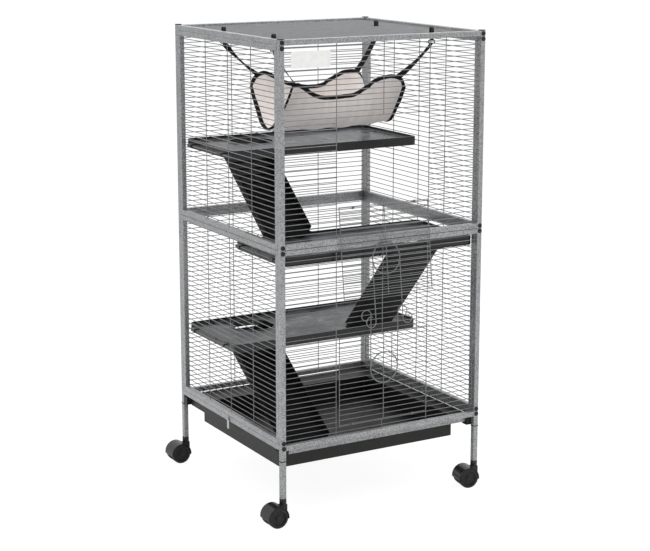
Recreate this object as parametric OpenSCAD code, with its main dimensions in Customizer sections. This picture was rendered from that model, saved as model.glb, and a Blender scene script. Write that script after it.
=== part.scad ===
// Two-storey wire cage for ferrets, on casters.
// Origin: on the ground, under the middle of the cage. X runs along the front, Y to the back, Z up.

/* [Frame] */
// Distance between the centres of the posts along the front
cage_w = 551; // [460:1:680]
// Distance between the centres of the posts from front to back
cage_d = 538; // [450:1:660]
// Height of the underside of the lowest rails above the ground
base_z = 182.5; // [170:0.5:225]
// Height of the lower storey, over its rails
lower_storey_h = 482.5; // [400:0.5:600]
// Height of the upper storey, over its rails
upper_storey_h = 483; // [400:0.5:600]
// Side of the square tube
tube = 13; // [10:0.5:16]
// Rounding of the tube's edges
tube_r = 1.5; // [0.5:0.1:2.5]
// Height at which the legs end and the posts begin
leg_top_z = 156; // [130:1:160]
// Thickness of the black ring between leg and post
ring_t = 2; // [1:0.5:4]
// How far the ring stands proud of the tube
ring_lip = 0.8; // [0.3:0.1:2]
// Thickness of the caps on the posts
cap_t = 2; // [1:0.5:5]
// Fine gap between a side panel's frame and the posts
panel_gap = 0.5; // [0.2:0.1:2]
// Seam between the ends of a panel frame's stiles and its rails
frame_seam = 0.1; // [0.05:0.05:0.3]
// Diameter of the caps on the bolts through the posts
bolt_cap_d = 11; // [7:0.5:12]
// Height of the caps on the bolts
bolt_cap_h = 3; // [2.5:0.5:5]
// Rounding of the caps on the bolts
bolt_cap_r = 2; // [0.5:0.1:2]

/* [Wire mesh] */
// Diameter of the mesh wire
wire_d = 2; // [1.4:0.1:3]
// Distance between neighbouring wires
wire_pitch = 12.7; // [10:0.1:25.4]
// How deep crossing wires are pressed into each other at a weld
weld_sink = 0.3; // [0.2:0.05:0.5]
// Gap between the lowest wire of the lower storey and the rail under it
lower_first_gap = 8.8; // [3:0.1:12]
// Gap between the lowest wire of the upper storey and the rail under it
upper_first_gap = 5.5; // [3:0.1:12]
// Distance of the outer upright wires from the middle one
upright_x = 128.5; // [100:0.5:170]
// Distance of the outer upright wires from the middle one on the sides
upright_y = 120; // [90:0.5:170]
// Hair gap where one sheet of front mesh ends and the next begins
sheet_gap = 0.15; // [0.1:0.05:0.4]

/* [Doors] */
// Row of mesh wire that the upper door hangs on, counted from the storey's lowest
upper_hinge_row = 5; // [2:1:8]
// Row of mesh wire that the lower door hangs on
lower_hinge_row = 1; // [1:1:6]
// Height of a door opening, in wire pitches
opening_rows = 17; // [12:1:19]
// Gap between a door's end wires and the uprights beside the opening
door_side_gap = 4; // [2:0.5:10]
// How far the door's wires lie in front of the mesh
door_offset = 3.6; // [3.4:0.1:6]
// How far the door's rows are raised above the rows of the mesh
door_raise = 4; // [3:0.1:6]
// Distance of the hinge rings from the door's middle
ring_x = 85; // [40:1:110]
// Width of a hinge ring
ring_w = 5; // [3:0.5:10]
// Wall of a hinge ring
ring_wall = 0.9; // [0.6:0.1:1.5]
// Clearance of a hinge ring round the wire
ring_clear = 0.08; // [0.03:0.01:0.1]
// Gap between the folded door and the rail that it leans on
door_rest_gap = 0.3; // [0.2:0.05:1]

/* [Door latches] */
// Diameter of the latch wire
latch_wire_d = 2.2; // [1.6:0.1:3]
// Diameter of the thicker wire of a latch's round grip
latch_grip_d = 2.8; // [2.4:0.1:4]
// Gap between a latch and the door in front of which it lies
latch_gap = 0.3; // [0.2:0.05:0.6]
// Radius of the latch's round grip, to the middle of the wire
latch_grip_r = 38; // [25:0.5:45]
// Distance of the grip's middle from the door's free edge
latch_grip_in = 86; // [60:1:110]
// How far a latch slides along its door
latch_slide = 12; // [4:1:20]
// Length of the upper latch from the grip's middle to its tip
upper_latch_reach = 163; // [120:1:175]
// Length of the lower latch from the grip's middle to its tip
lower_latch_reach = 148; // [120:1:170]
// Radius of the hooks, to the middle of the wire
latch_hook_r = 13; // [8:0.5:16]
// Turn of a hook's wire, in degrees
latch_hook_turn = 290; // [180:5:320]

/* [Shelves] */
// Gap between a shelf's ends and the posts' middles
shelf_end_gap = 11; // [9:0.5:20]
// Depth of the lower shelf from front to back
lower_shelf_d = 265; // [200:1:300]
// Depth of the middle shelf
middle_shelf_d = 247; // [200:1:300]
// Depth of the upper shelf
upper_shelf_d = 262; // [200:1:300]
// Gap between a shelf's long edge and the middle of the wall that it lies along
shelf_wall_gap = 13; // [10:0.5:30]
// Gap between the middle shelf's front edge and the middle of the front wall
middle_wall_gap = 8; // [6:0.5:30]
// Height of the lower shelf's rim above the lower storey's underside
lower_shelf_rise = 195.5; // [150:0.5:280]
// Height of the middle shelf's rim above the lower storey's underside
middle_shelf_rise = 462.5; // [400:0.5:470]
// Height of the upper shelf's rim above the upper storey's underside
upper_shelf_rise = 196; // [150:0.5:280]
// Height of a shelf over its rim
shelf_h = 22; // [16:0.5:35]
// Thickness of a shelf's floor and rim
shelf_t = 3; // [2:0.1:5]
// Rounding of a shelf's corners
shelf_r = 12; // [4:0.5:30]
// Diameter of the hole that a ferret climbs through
hole_d = 112; // [90:1:140]
// Height and width of the collar round the hole
hole_collar = 3; // [1:0.5:8]
// Distance of a hole's middle from the shelf's end
hole_end = 141; // [80:1:200]
// Distance of a hole's middle from the shelf's edge at the wall
hole_wall = 85; // [65:1:130]
// Width of a hook that hangs a shelf on the wire
hook_w = 18; // [8:1:40]
// Thickness of a hook
hook_t = 3; // [2:0.1:5]
// How far a hook reaches down behind the wire
hook_drop = 5; // [3:0.5:8]
// Least drop from a shelf's rim to the wire that its hooks hang on
hook_room = 6; // [4:0.5:10]
// Clearance of a hook round the wire
hook_clear = 0.3; // [0.2:0.05:1]
// Distance of the hooks from the shelf's middle
hook_y = 85; // [60:1:110]

/* [Ramps] */
// Width of a ramp
ramp_w = 130; // [90:1:160]
// Distance of a ramp's middle from the posts' middles
ramp_end = 152.5; // [110:0.5:200]
// Thickness of a ramp's plate
ramp_t = 3; // [2:0.1:5]
// Height of a ramp's side flanges
ramp_flange_h = 20; // [10:0.5:30]
// Thickness of a ramp's side flanges
ramp_flange_t = 2.5; // [1.5:0.1:5]
// Distance between the treads of a ramp
tread_pitch = 24; // [14:0.5:40]
// Height and width of a tread
tread_h = 3; // [1.5:0.5:6]
// Length of the flat foot of a ramp
foot_len = 16; // [8:1:30]
// How far the foot's sides stand back from the ramp's
foot_in = 1.5; // [0.5:0.5:10]
// How far the board ends above the foot's underside
foot_rise = 0.5; // [0.3:0.1:1.5]
// Gap under a ramp's foot
foot_gap = 0.3; // [0.2:0.05:1]
// Diameter of a ramp's rolled edge round its pins
ramp_roll_d = 9; // [7:0.5:11]
// How far the rolled edge stands out past a ramp's sides
ramp_roll_out = 0.4; // [0.2:0.1:1]
// Diameter of a ramp's hinge pins
pin_d = 6; // [4:0.5:8]
// Clearance of the pins in their lugs
pin_clear = 0.08; // [0.03:0.01:0.1]
// Thickness of a hinge lug
lug_t = 6; // [4:0.5:10]
// Gap between a ramp and a hinge lug
lug_gap = 1; // [0.5:0.1:3]
// How far a ramp can be lifted, in degrees
ramp_lift = 15; // [6:1:18]
// Distance of the lower ramp's foot from the back posts' middles
lower_ramp_foot = 377; // [330:1:420]
// Distance of the lower and upper ramps' hinges from the back posts' middles
ramp_hinge_back = 52; // [40:1:90]
// Distance of the middle ramp's hinge from the front posts' middles
ramp_hinge_front = 46; // [36:1:90]

/* [Hammock] */
// Length of the hammock's bottom
hammock_l = 353; // [250:1:420]
// Width of the hammock between its top edges
hammock_w = 200; // [140:1:240]
// Height of the hammock's bottom above the upper storey's underside
hammock_bottom = 249; // [200:1:300]
// Height of the hammock's ears above its bottom
hammock_rise = 120; // [80:1:150]
// How far the top edges dip between the ears
hammock_dip = 32; // [10:1:60]
// Thickness of the padded cloth
hammock_t = 4; // [2:0.5:8]
// Depth of the folds along the hammock
hammock_fold = 5; // [0:0.5:9]
// Width of the hammock's middle as a share of its width at the ears
hammock_waist = 0.86; // [0.7:0.01:1]
// How far the top edges fall short of the bottom at each end
hammock_cut = 12; // [0:1:30]
// How far the bottom rises at the ends
hammock_lift = 10; // [0:1:30]
// Number of folds across one side
hammock_folds = 3; // [1:1:5]
// Distance of the hammock's left end from the left posts' middles
hammock_left = 62; // [40:1:120]
// Distance of the hammock's bottom line from the front posts' middles
hammock_y = 189; // [140:1:300]
// Width of the webbing straps
strap_w = 18; // [10:1:30]
// Thickness of the webbing straps
strap_t = 1.6; // [1:0.1:3]
// Height of a strap's end above the middle of the hammock's edge
strap_up = 1.7; // [1:0.1:5]
// Gap between a strap and the clip above it
strap_gap = 0.5; // [0.2:0.1:2]
// Distance of the left clips from the left posts' middles
left_clip_x = 22; // [18:1:60]
// Distance of the right clips from the left posts' middles
right_clip_x = 450; // [380:1:500]
// Distance of the clips from the hammock's bottom line
clip_y = 127; // [100:1:160]
// Width of a clip
clip_w = 16; // [8:1:24]
// Thickness of a clip's hook
clip_t = 3; // [2:0.1:5]
// Length of a clip below the top mesh
clip_l = 26; // [16:1:40]
// Height of a clip's loop above the wire
clip_top = 12; // [4:1:20]
// How far a clip reaches down behind the wire
clip_drop = 5; // [3:0.5:8]

/* [Tray] */
// Gap between the tray's lip and the posts' middles along the front
tray_end_gap = 5; // [3:0.5:12]
// Gap between the tray's lip and the posts' middles from front to back
tray_side_gap = 8; // [7.5:0.5:14]
// Thickness of the tray's lip
lip_t = 2.2; // [1.5:0.1:2.4]
// Height of the lip above the underside of the base rails, counted down
lip_drop = 1; // [0.5:0.1:3]
// Depth of the tray below its lip
tray_depth = 48; // [30:1:70]
// Wall of the tray
tray_wall = 2.2; // [1.5:0.1:4]
// Rounding of the tray's corners
tray_r = 9; // [4:0.5:20]
// Width of the lip on the left, right and back of the pan
lip_widths = [5, 43, 80]; // [5:1:90]
// Gap between the pan's front wall and the runner rail beside it
pan_gap = 2; // [1:0.5:6]
// Height of the skirts at the tray's ends
skirt_h = 21; // [10:1:30]
// Distance of the skirts' ends from the lip's corners
skirt_in = 22; // [21:1:60]
// Diameter of the stud on the tray's end
stud_d = 8; // [4:0.5:14]
// Distance of the stud from the tray's middle towards the back
stud_y = 33.6; // [0:0.1:80]
// Height of the stud
stud_h = 2.4; // [1:0.1:5]
// Gap between a runner rail and the tray's lip
runner_gap = 0.3; // [0.2:0.05:1]
// Length of a runner bracket
bracket_l = 26.5; // [20:0.5:40]
// Gap between a runner bracket and the black ring under it
bracket_foot_gap = 1; // [0.5:0.5:6]
// Wall of a bracket over the runner's side
bracket_wall = 6.5; // [3:0.5:8]
// Width of the turn-button
button_w = 11; // [8:0.5:16]
// Thickness of the turn-button
button_t = 2; // [1:0.1:4]
// Length of the turn-button from its screw to its end
button_l = 26; // [20:0.5:34]
// Diameter of the turn-button's screw
screw_d = 4; // [3:0.5:5]
// Gap of the turn-button at the rail and at its screw
button_gap = 0.3; // [0.2:0.05:0.6]

/* [Casters] */
// Height of a caster under its leg
caster_h = 65; // [58:0.5:80]
// Diameter of a wheel
wheel_d = 50; // [40:0.5:54]
// Width of a wheel
wheel_w = 15; // [10:0.5:20]
// Rounding of a wheel's edges
wheel_r = 2; // [1:0.5:4]
// Depth of the round recess in a wheel's outer face
wheel_recess = 2.5; // [1:0.5:5]
// Width of the tyre round the recess
tyre_t = 7; // [4:0.5:10]
// Diameter of the hub cap in the recess
hub_d = 14; // [10:1:20]
// Distance of the wheels' axle from the swivel axis
trail = 22; // [16:0.5:30]
// Thickness of the web between the wheels
web_t = 13; // [12:0.5:16]
// Gap between a wheel and the hood
wheel_gap = 0.8; // [0.4:0.1:2]
// Thickness of the hood over the wheels
hood_t = 1.8; // [1.2:0.1:4]
// How far the hood reaches below the axle
hood_skirt = 4; // [0:0.5:8]
// Diameter of the axle
axle_d = 6; // [4:0.5:8]
// Diameter of the web's boss round the axle
axle_boss_d = 16; // [12:0.5:20]
// Clearance of the axle and of the swivel stem in their bores
bearing_clear = 0.08; // [0.03:0.01:0.1]
// Diameter of the swivel stem
stem_d = 8; // [6:0.5:9]
// Length of the stem inside the leg
stem_in = 30; // [20:1:45]
// Wall of the boss round the stem
boss_wall = 4.5; // [2.5:0.5:6]
// Gap between a hood and the leg above it
swivel_gap = 0.6; // [0.3:0.1:2]
// Height of the stem's lower end above the axle
stem_above_axle = 8; // [6:0.5:14]
// Floor of the web under the stem
web_floor = 3; // [2:0.5:5]
// Directions that the casters trail in: front left, front right, back left, back right
caster_turn = [180, 170, 180, 350]; // [0:5:355]

/* [Hidden] */
eps = 0.01;
round_fn = 48;
large_fn = 96;
bend_fn = 24;
wire_fn = 8;

// Places along the three axes
post_x = cage_w / 2;
post_y = cage_d / 2;
half_tube = tube / 2;
in_x = post_x - half_tube;
in_y = post_y - half_tube;
mid_z = base_z + lower_storey_h;
top_z = mid_z + upper_storey_h;
wire_r = wire_d / 2;
upright_in = wire_d - weld_sink;

// Undersides of the tubes that bolts pass into
bolt_rows = [base_z, base_z + tube, mid_z - tube, mid_z, top_z - 2 * tube, top_z - tube];

// Heights of the mesh rows
lower_row_z = base_z + tube + lower_first_gap;
upper_row_z = mid_z + tube + upper_first_gap;
function row_z(first, i) = first + i * wire_pitch;
function rows(first, low, high) = [for (i = [0:60])
    if (row_z(first, i) > low + wire_r && row_z(first, i) < high - wire_r) row_z(first, i)];

// Doors
lower_sill_z = row_z(lower_row_z, lower_hinge_row);
upper_sill_z = row_z(upper_row_z, upper_hinge_row);
opening_h = opening_rows * wire_pitch;
door_half_w = upright_x - wire_r - door_side_gap;
door_out = upright_in + wire_r;
latch_y = door_out + latch_gap + latch_grip_d / 2;

// The folded upper door leans on the middle rail with its uprights or with its latch's grip
fold_drop = upper_sill_z + door_raise - mid_z - tube;
fold_reach = half_tube + door_rest_gap - door_offset;
grip_near = opening_h - latch_grip_in - latch_grip_r - latch_grip_d / 2 - latch_slide;
grip_out = latch_y + latch_grip_d / 2;
upright_lean = asin(door_out / norm([fold_drop, fold_reach])) + atan2(fold_reach, fold_drop);
grip_lean = asin(fold_reach / norm([grip_near, grip_out])) + atan2(grip_out, grip_near);
fold_lean = max(upright_lean, grip_lean);

// Shelves and ramps
lower_rim_z = base_z + lower_shelf_rise;
middle_rim_z = base_z + middle_shelf_rise;
upper_rim_z = mid_z + upper_shelf_rise;
shelf_l = cage_w - 2 * shelf_end_gap;
lug_drop = (ramp_roll_d + 3) / 2;
ramp_back_y = post_y - ramp_hinge_back;
ramp_front_y = -post_y + ramp_hinge_front;
ramp_left_x = -post_x + ramp_end;
ramp_right_x = post_x - ramp_end;

// Tray
lip_top_z = base_z - lip_drop;
lip_low_z = lip_top_z - lip_t;
tray_low_z = lip_low_z - tray_depth;
tray_x = post_x - tray_end_gap;
tray_y = post_y - tray_side_gap;
runner_top_z = lip_low_z - runner_gap;
bracket_x = post_x + half_tube - bracket_l;
bracket_h = runner_top_z - leg_top_z - ring_t - bracket_foot_gap;
pan_low = [-tray_x + lip_widths[0], -in_y + bracket_wall + tube + pan_gap];
pan_high = [tray_x - lip_widths[1], tray_y - lip_widths[2]];

// Hammock
hammock_x = -post_x + hammock_left;
hammock_mid_y = -post_y + hammock_y;
hammock_z = mid_z + hammock_bottom;
ear_u = 0.02;
ear_power = 2.5;
belly_power = 1.9;
flank_power = 0.9;
hammock_steps_u = 22;
hammock_steps_v = 22;

// Casters
axle_z = wheel_d / 2;
hood_r = axle_z + wheel_gap + hood_t;
hood_half_w = web_t / 2 + wheel_gap + wheel_w;
boss_r = stem_d / 2 + boss_wall;
boss_low_z = axle_z + hood_r - hood_t;
stem_low_z = axle_z + stem_above_axle;

// ---- Shared shapes ----

module rounded_rect(w, d, r) {
    square([w - 2 * r, d], center = true);
    square([w, d - 2 * r], center = true);
    for (x = [-1, 1], y = [-1, 1])
        translate([x * (w / 2 - r), y * (d / 2 - r)])
            circle(r, $fn = round_fn);
}

module bar(len) linear_extrude(len) rounded_rect(tube, tube, tube_r);

module bar_x(x0, x1, y, z) translate([x0, y, z]) rotate([90, 0, 90]) bar(x1 - x0);

module bar_y(y0, y1, x, z) translate([x, y0, z]) rotate([-90, 0, 0]) bar(y1 - y0);

module bar_z(z0, z1, x, y) translate([x, y, z0]) bar(z1 - z0);

module wire_x(x0, x1, y, z, r = wire_r)
    translate([x0, y, z]) rotate([0, 90, 0]) cylinder(h = x1 - x0, r = r, $fn = wire_fn);

module wire_y(y0, y1, x, z, r = wire_r)
    translate([x, y0, z]) rotate([-90, 0, 0]) cylinder(h = y1 - y0, r = r, $fn = wire_fn);

module wire_z(z0, z1, x, y, r = wire_r)
    translate([x, y, z0]) cylinder(h = z1 - z0, r = r, $fn = wire_fn);

module at_posts() for (x = [-post_x, post_x], y = [-post_y, post_y]) translate([x, y, 0]) children();

// ---- Frame ----

module legs() color("silver") at_posts() difference() {
    bar_z(caster_h, leg_top_z, 0, 0);
    translate([0, 0, caster_h - eps])
        cylinder(h = stem_in + 1, r = stem_d / 2 + bearing_clear, $fn = round_fn);
}

module leg_rings() color("black") at_posts()
    translate([0, 0, leg_top_z])
        linear_extrude(ring_t) rounded_rect(tube + 2 * ring_lip, tube + 2 * ring_lip, tube_r);

module lower_posts() color("silver") at_posts() bar_z(leg_top_z + ring_t, mid_z, 0, 0);

module upper_posts() color("silver") at_posts() bar_z(mid_z, top_z, 0, 0);

module post_caps() color("dimgray") at_posts() {
    translate([0, 0, top_z]) linear_extrude(cap_t) rounded_rect(tube, tube, tube_r);
}

module bolt_caps() color("black")
    for (x = [-post_x, post_x], z = bolt_rows, side = [-1, 1])
        translate([x, side * (post_y + half_tube), z + half_tube])
            rotate([-90 * side, 0, 0])
                bolt_cap();

module bolt_cap() rotate_extrude($fn = round_fn) {
    square([bolt_cap_d / 2, bolt_cap_h - bolt_cap_r]);
    square([bolt_cap_d / 2 - bolt_cap_r, bolt_cap_h]);
    translate([bolt_cap_d / 2 - bolt_cap_r, bolt_cap_h - bolt_cap_r])
        intersection() {
            circle(bolt_cap_r, $fn = round_fn);
            square(bolt_cap_h);
        }
}

// Two rails across the cage at one wall of one storey
module wall_rails(side, z0, z1) color("silver")
    for (z = [z0 + half_tube, z1 - half_tube]) bar_x(-in_x, in_x, side * post_y, z);

// Frame of a side panel: rails between the posts, stiles between the rails
module side_frame(side, z0, z1) color("silver") {
    y = in_y - panel_gap;
    for (z = [z0 + half_tube, z1 - half_tube]) bar_y(-y, y, side * post_x, z);
    for (s = [-1, 1])
        bar_z(z0 + tube + frame_seam, z1 - tube - frame_seam, side * post_x, s * (y - half_tube));
}

module base_side_rails() color("silver") difference() {
    for (s = [-1, 1]) bar_y(-in_y, in_y, s * post_x, base_z + half_tube);
    translate([-post_x - half_tube - eps, 0, base_z + half_tube])
        rotate([0, 90, 0]) cylinder(h = half_tube + 1, r = screw_d / 2 + bearing_clear, $fn = round_fn);
}

module top_side_rails() color("silver")
    for (s = [-1, 1]) bar_y(-in_y, in_y, s * post_x, top_z - half_tube);

// ---- Wire mesh ----

// A sheet of mesh along X: rows at the heights zs, uprights behind them
module sheet_x(x0, x1, zs, uprights, z0, z1, side) {
    for (z = zs) wire_x(x0, x1, side * post_y, z);
    for (x = uprights) wire_z(z0, z1, x, side * (post_y - upright_in));
}

// The whole mesh of a side wall, inside its frame
module side_mesh(side, first, z0, z1) color("gray") {
    y = in_y - panel_gap - tube;
    low = z0 + tube;
    high = z1 - tube;
    for (z = rows(first, low, high)) wire_y(-y, y, side * post_x, z);
    for (y = [-upright_y, 0, upright_y]) wire_z(low, high, side * (post_x - upright_in), y);
}

module back_mesh(first, z0, z1) color("gray")
    sheet_x(-in_x, in_x, rows(first, z0 + tube, z1 - tube), [-upright_x, 0, upright_x],
        z0 + tube, z1 - tube, 1);

// The front mesh lies in four sheets round the door's opening: under it, over it and on both sides
module front_mesh(first, sill_z, z0, z1) color("gray") {
    low = z0 + tube;
    high = z1 - tube;
    top_row = sill_z + opening_h;
    all_rows = rows(first, low, high);
    split_low = sill_z + wire_pitch / 2;
    split_high = top_row - wire_pitch / 2;
    sheet_x(-in_x, in_x, [for (z = all_rows) if (z < split_low) z], [-upright_x, upright_x],
        low, split_low - sheet_gap / 2, -1);
    wire_z(low, sill_z, 0, -post_y + upright_in);
    sheet_x(-in_x, in_x, [for (z = all_rows) if (z > split_high) z], [-upright_x, upright_x],
        split_high + sheet_gap / 2, high, -1);
    wire_z(top_row, high, 0, -post_y + upright_in);
    for (s = [-1, 1])
        sheet_x(min(s * in_x, s * (upright_x - wire_r)), max(s * in_x, s * (upright_x - wire_r)),
            [for (z = all_rows) if (z > split_low && z < split_high) z],
            [s * upright_x], split_low + sheet_gap / 2, split_high - sheet_gap / 2, -1);
}

module top_mesh() color("gray") {
    z = top_z - half_tube;
    count = floor((2 * in_y - wire_pitch) / wire_pitch);
    for (i = [0:count]) wire_x(-in_x, in_x, (i - count / 2) * wire_pitch, z);
    for (x = [-upright_x, 0, upright_x]) wire_y(-in_y, in_y, x, z - upright_in);
}

// ---- Doors ----

// Turns a door or its latch about the door's lowest wire, over the sill wire at height z; 0 is closed
module on_hinge(z, angle)
    translate([0, -post_y - door_offset, z + door_raise]) rotate([angle, 0, 0]) children();

// A closed door, drawn upwards from its lowest wire
module door() color("gray") {
    for (i = [0:opening_rows]) wire_x(-door_half_w - wire_r, door_half_w + wire_r, 0, i * wire_pitch);
    for (x = [-door_half_w, 0, door_half_w]) wire_z(-wire_r, opening_h + wire_r, x, -upright_in);
}

// Rings that hold the door's lowest wire to the sill wire at height z
module door_rings(z) color("gray")
    for (s = [-1, 1]) translate([s * ring_x, -post_y, z]) door_ring();

module door_ring() {
    bore = wire_r + ring_clear;
    reach = norm([door_offset, door_raise]);
    rotate([atan2(door_raise, -door_offset), 0, 0]) rotate([0, 90, 0])
        difference() {
            translate([0, 0, -ring_w / 2]) linear_extrude(ring_w) {
                for (y = [0, reach]) translate([0, y]) circle(bore + ring_wall, $fn = round_fn);
                translate([-bore - ring_wall / 2, 0]) square([2 * bore + ring_wall, reach]);
            }
            for (y = [0, reach]) translate([0, y, -ring_w])
                cylinder(h = 2 * ring_w, r = bore, $fn = round_fn);
        }
}

// Sliding wire latch: a round grip and two legs whose ends curl outwards
module latch(reach) color("gray") translate([0, -latch_y, opening_h - latch_grip_in]) rotate([90, 0, 0]) {
    wire = latch_wire_d / 2;
    leg = reach - latch_hook_r - wire;
    rotate_extrude($fn = round_fn) translate([latch_grip_r, 0]) circle(latch_grip_d / 2, $fn = bend_fn);
    for (turn = [0, 180]) rotate([0, turn, 0]) {
        translate([latch_grip_r, 0, 0]) rotate([-90, 0, 0]) cylinder(h = leg, r = wire, $fn = bend_fn);
        translate([latch_grip_r + latch_hook_r, leg, 0])
            rotate([0, 0, 180 - latch_hook_turn])
                rotate_extrude(angle = latch_hook_turn, $fn = round_fn)
                    translate([latch_hook_r, 0]) circle(wire, $fn = bend_fn);
    }
}

// ---- Shelves ----

// Row of wire under a shelf's rim that its hooks hang on
function hook_row(first, rim_z) = first + floor((rim_z - hook_room - first) / wire_pitch) * wire_pitch;

// Pan with a rim, a hole with a collar, hooks at both ends and two lugs for a ramp's pins.
// wall: -1 where the shelf lies at the front, 1 at the back
module shelf(rim_z, depth, wall, wall_gap, first, hole_x, ramp_x, hinge_y) color([0.35, 0.36, 0.37]) {
    y = wall * (post_y - wall_gap - depth / 2);
    hole_y = wall * (post_y - wall_gap - hole_wall);
    floor_z = rim_z - shelf_h;
    difference() {
        union() {
            translate([0, y, floor_z]) linear_extrude(shelf_h) rounded_rect(shelf_l, depth, shelf_r);
            lugs(floor_z, ramp_x, hinge_y);
        }
        translate([0, y, floor_z + shelf_t]) linear_extrude(shelf_h)
            rounded_rect(shelf_l - 2 * shelf_t, depth - 2 * shelf_t, shelf_r - shelf_t);
        translate([hole_x, hole_y, floor_z - eps]) cylinder(h = shelf_h, d = hole_d, $fn = large_fn);
        lug_bores(floor_z, ramp_x, hinge_y);
    }
    translate([hole_x, hole_y, floor_z + shelf_t]) linear_extrude(hole_collar) difference() {
        circle(d = hole_d + 2 * hole_collar, $fn = large_fn);
        circle(d = hole_d, $fn = large_fn);
    }
    for (s = [-1, 1], h = [-1, 1])
        translate([s * shelf_l / 2, y + h * hook_y, hook_row(first, rim_z)]) hook(s);
}

// Hook over a wire of the side mesh, from the shelf's end outwards
module hook(side) {
    reach = shelf_end_gap + wire_r + hook_clear + hook_t;
    under = wire_r + hook_clear;
    rotate([0, 0, side < 0 ? 180 : 0]) translate([0, hook_w / 2, 0]) rotate([90, 0, 0])
        linear_extrude(hook_w) {
            translate([-eps, under]) square([reach, hook_t]);
            translate([reach - hook_t, under - hook_drop]) square([hook_t, hook_drop + hook_t]);
        }
}

module lugs(z, x, y) for (s = [-1, 1])
    translate([x + s * (ramp_w / 2 + lug_gap + lug_t / 2), y, z - lug_drop]) rotate([90, 0, 90])
        translate([0, 0, -lug_t / 2]) linear_extrude(lug_t) {
            circle(pin_d, $fn = round_fn);
            translate([-pin_d, 0]) square([2 * pin_d, lug_drop + eps]);
        }

module lug_bores(z, x, y) for (s = [-1, 1])
    translate([x + s * (ramp_w / 2 + lug_gap + lug_t / 2), y, z - lug_drop]) rotate([0, 90, 0])
        cylinder(h = 2 * lug_t, r = pin_d / 2 + pin_clear, center = true, $fn = round_fn);

// ---- Ramps ----

// Ramp from a foot at (foot_y, foot_z) up to the hinge under a shelf's floor.
// away: -1 where the foot lies to the front of the hinge, 1 to the back
module ramp(x, foot_y, foot_z, hinge_y, shelf_floor_z, away) color([0.1, 0.1, 0.1]) {
    hinge_z = shelf_floor_z - lug_drop;
    run = abs(hinge_y - foot_y);
    rise = hinge_z - foot_z;
    slope = atan2(rise, run);
    long = norm([run, rise]);
    translate([x, hinge_y, hinge_z]) rotate([0, 0, away > 0 ? 0 : 180]) {
        intersection() {
            rotate([-slope, 0, 0]) ramp_board(long);
            ramp_room(run, rise - foot_rise);
        }
        translate([0, run, -rise]) ramp_foot();
        rotate([0, 90, 0])
            cylinder(h = ramp_w + 2 * ramp_roll_out, d = ramp_roll_d, center = true, $fn = round_fn);
        rotate([0, 90, 0])
            cylinder(h = ramp_w + 2 * (lug_gap + lug_t), d = pin_d, center = true, $fn = round_fn);
    }
}

// Board with side flanges and treads, drawn along +Y from the hinge
module ramp_board(long) {
    flange_l = long - ramp_t;
    translate([-ramp_w / 2, 0, -ramp_t]) cube([ramp_w, long + ramp_t, ramp_t]);
    for (s = [-1, 1]) translate([s * (ramp_w - ramp_flange_t) / 2, flange_l / 2, ramp_flange_h / 2 - ramp_t])
        cube([ramp_flange_t, flange_l, ramp_flange_h], center = true);
    for (y = [tread_pitch:tread_pitch:long - tread_pitch])
        translate([(ramp_flange_t - ramp_w) / 2, y, -eps]) cube([ramp_w - ramp_flange_t, tread_h, tread_h]);
}

// Room below the shelf while the ramp is lifted, and above the board's lower end
module ramp_room(run, rise) {
    end = run + foot_len;
    high = pin_d / 2;
    rotate([90, 0, 90]) translate([0, 0, -ramp_w]) linear_extrude(2 * ramp_w)
        polygon([[-pin_d, high], [0, high], [end, high - end * tan(ramp_lift)],
            [end, -rise], [-pin_d, -rise]]);
}

module ramp_foot() translate([foot_in - ramp_w / 2, -ramp_t, 0])
    cube([ramp_w - 2 * foot_in, foot_len, ramp_t]);

// ---- Hammock ----

// Middle surface of the sling: u runs along it from 0 to 1, v from the front edge (-1) to the back (1)
function ear(u) = pow(abs(2 * u - 1), ear_power);
function sling_rise(u) = hammock_rise - hammock_dip * (1 - ear(u));
function sling_half(u) = hammock_w / 2 * (hammock_waist + (1 - hammock_waist) * ear(u));
function sling_fold(u, v) = hammock_fold * abs(v) * sin(180 * u) * sin(360 * hammock_folds * u);
function sling(u, v) = [
    hammock_x + hammock_l * u - hammock_cut * (2 * u - 1) * abs(v),
    hammock_mid_y + sling_half(u) * sign(v) * sin(90 * pow(abs(v), flank_power)) + sling_fold(u, v),
    hammock_z + sling_rise(u) * pow(abs(v), belly_power)
        + hammock_lift * pow(abs(2 * u - 1), 3) * (1 - abs(v))];
function sling_normal(u, v) =
    let (d = 0.01, n = cross(sling(u + d, v) - sling(u - d, v), sling(u, v + d) - sling(u, v - d)))
    n / norm(n);
function sling_point(i, j, side) =
    let (u = i / hammock_steps_u, v = 2 * j / hammock_steps_v - 1)
    sling(u, v) + side * hammock_t / 2 * sling_normal(u, v);

// Number of a point on the outer (0) or inner (1) skin
function at(skin, i, j) = (skin * (hammock_steps_u + 1) + i) * (hammock_steps_v + 1) + j;

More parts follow.
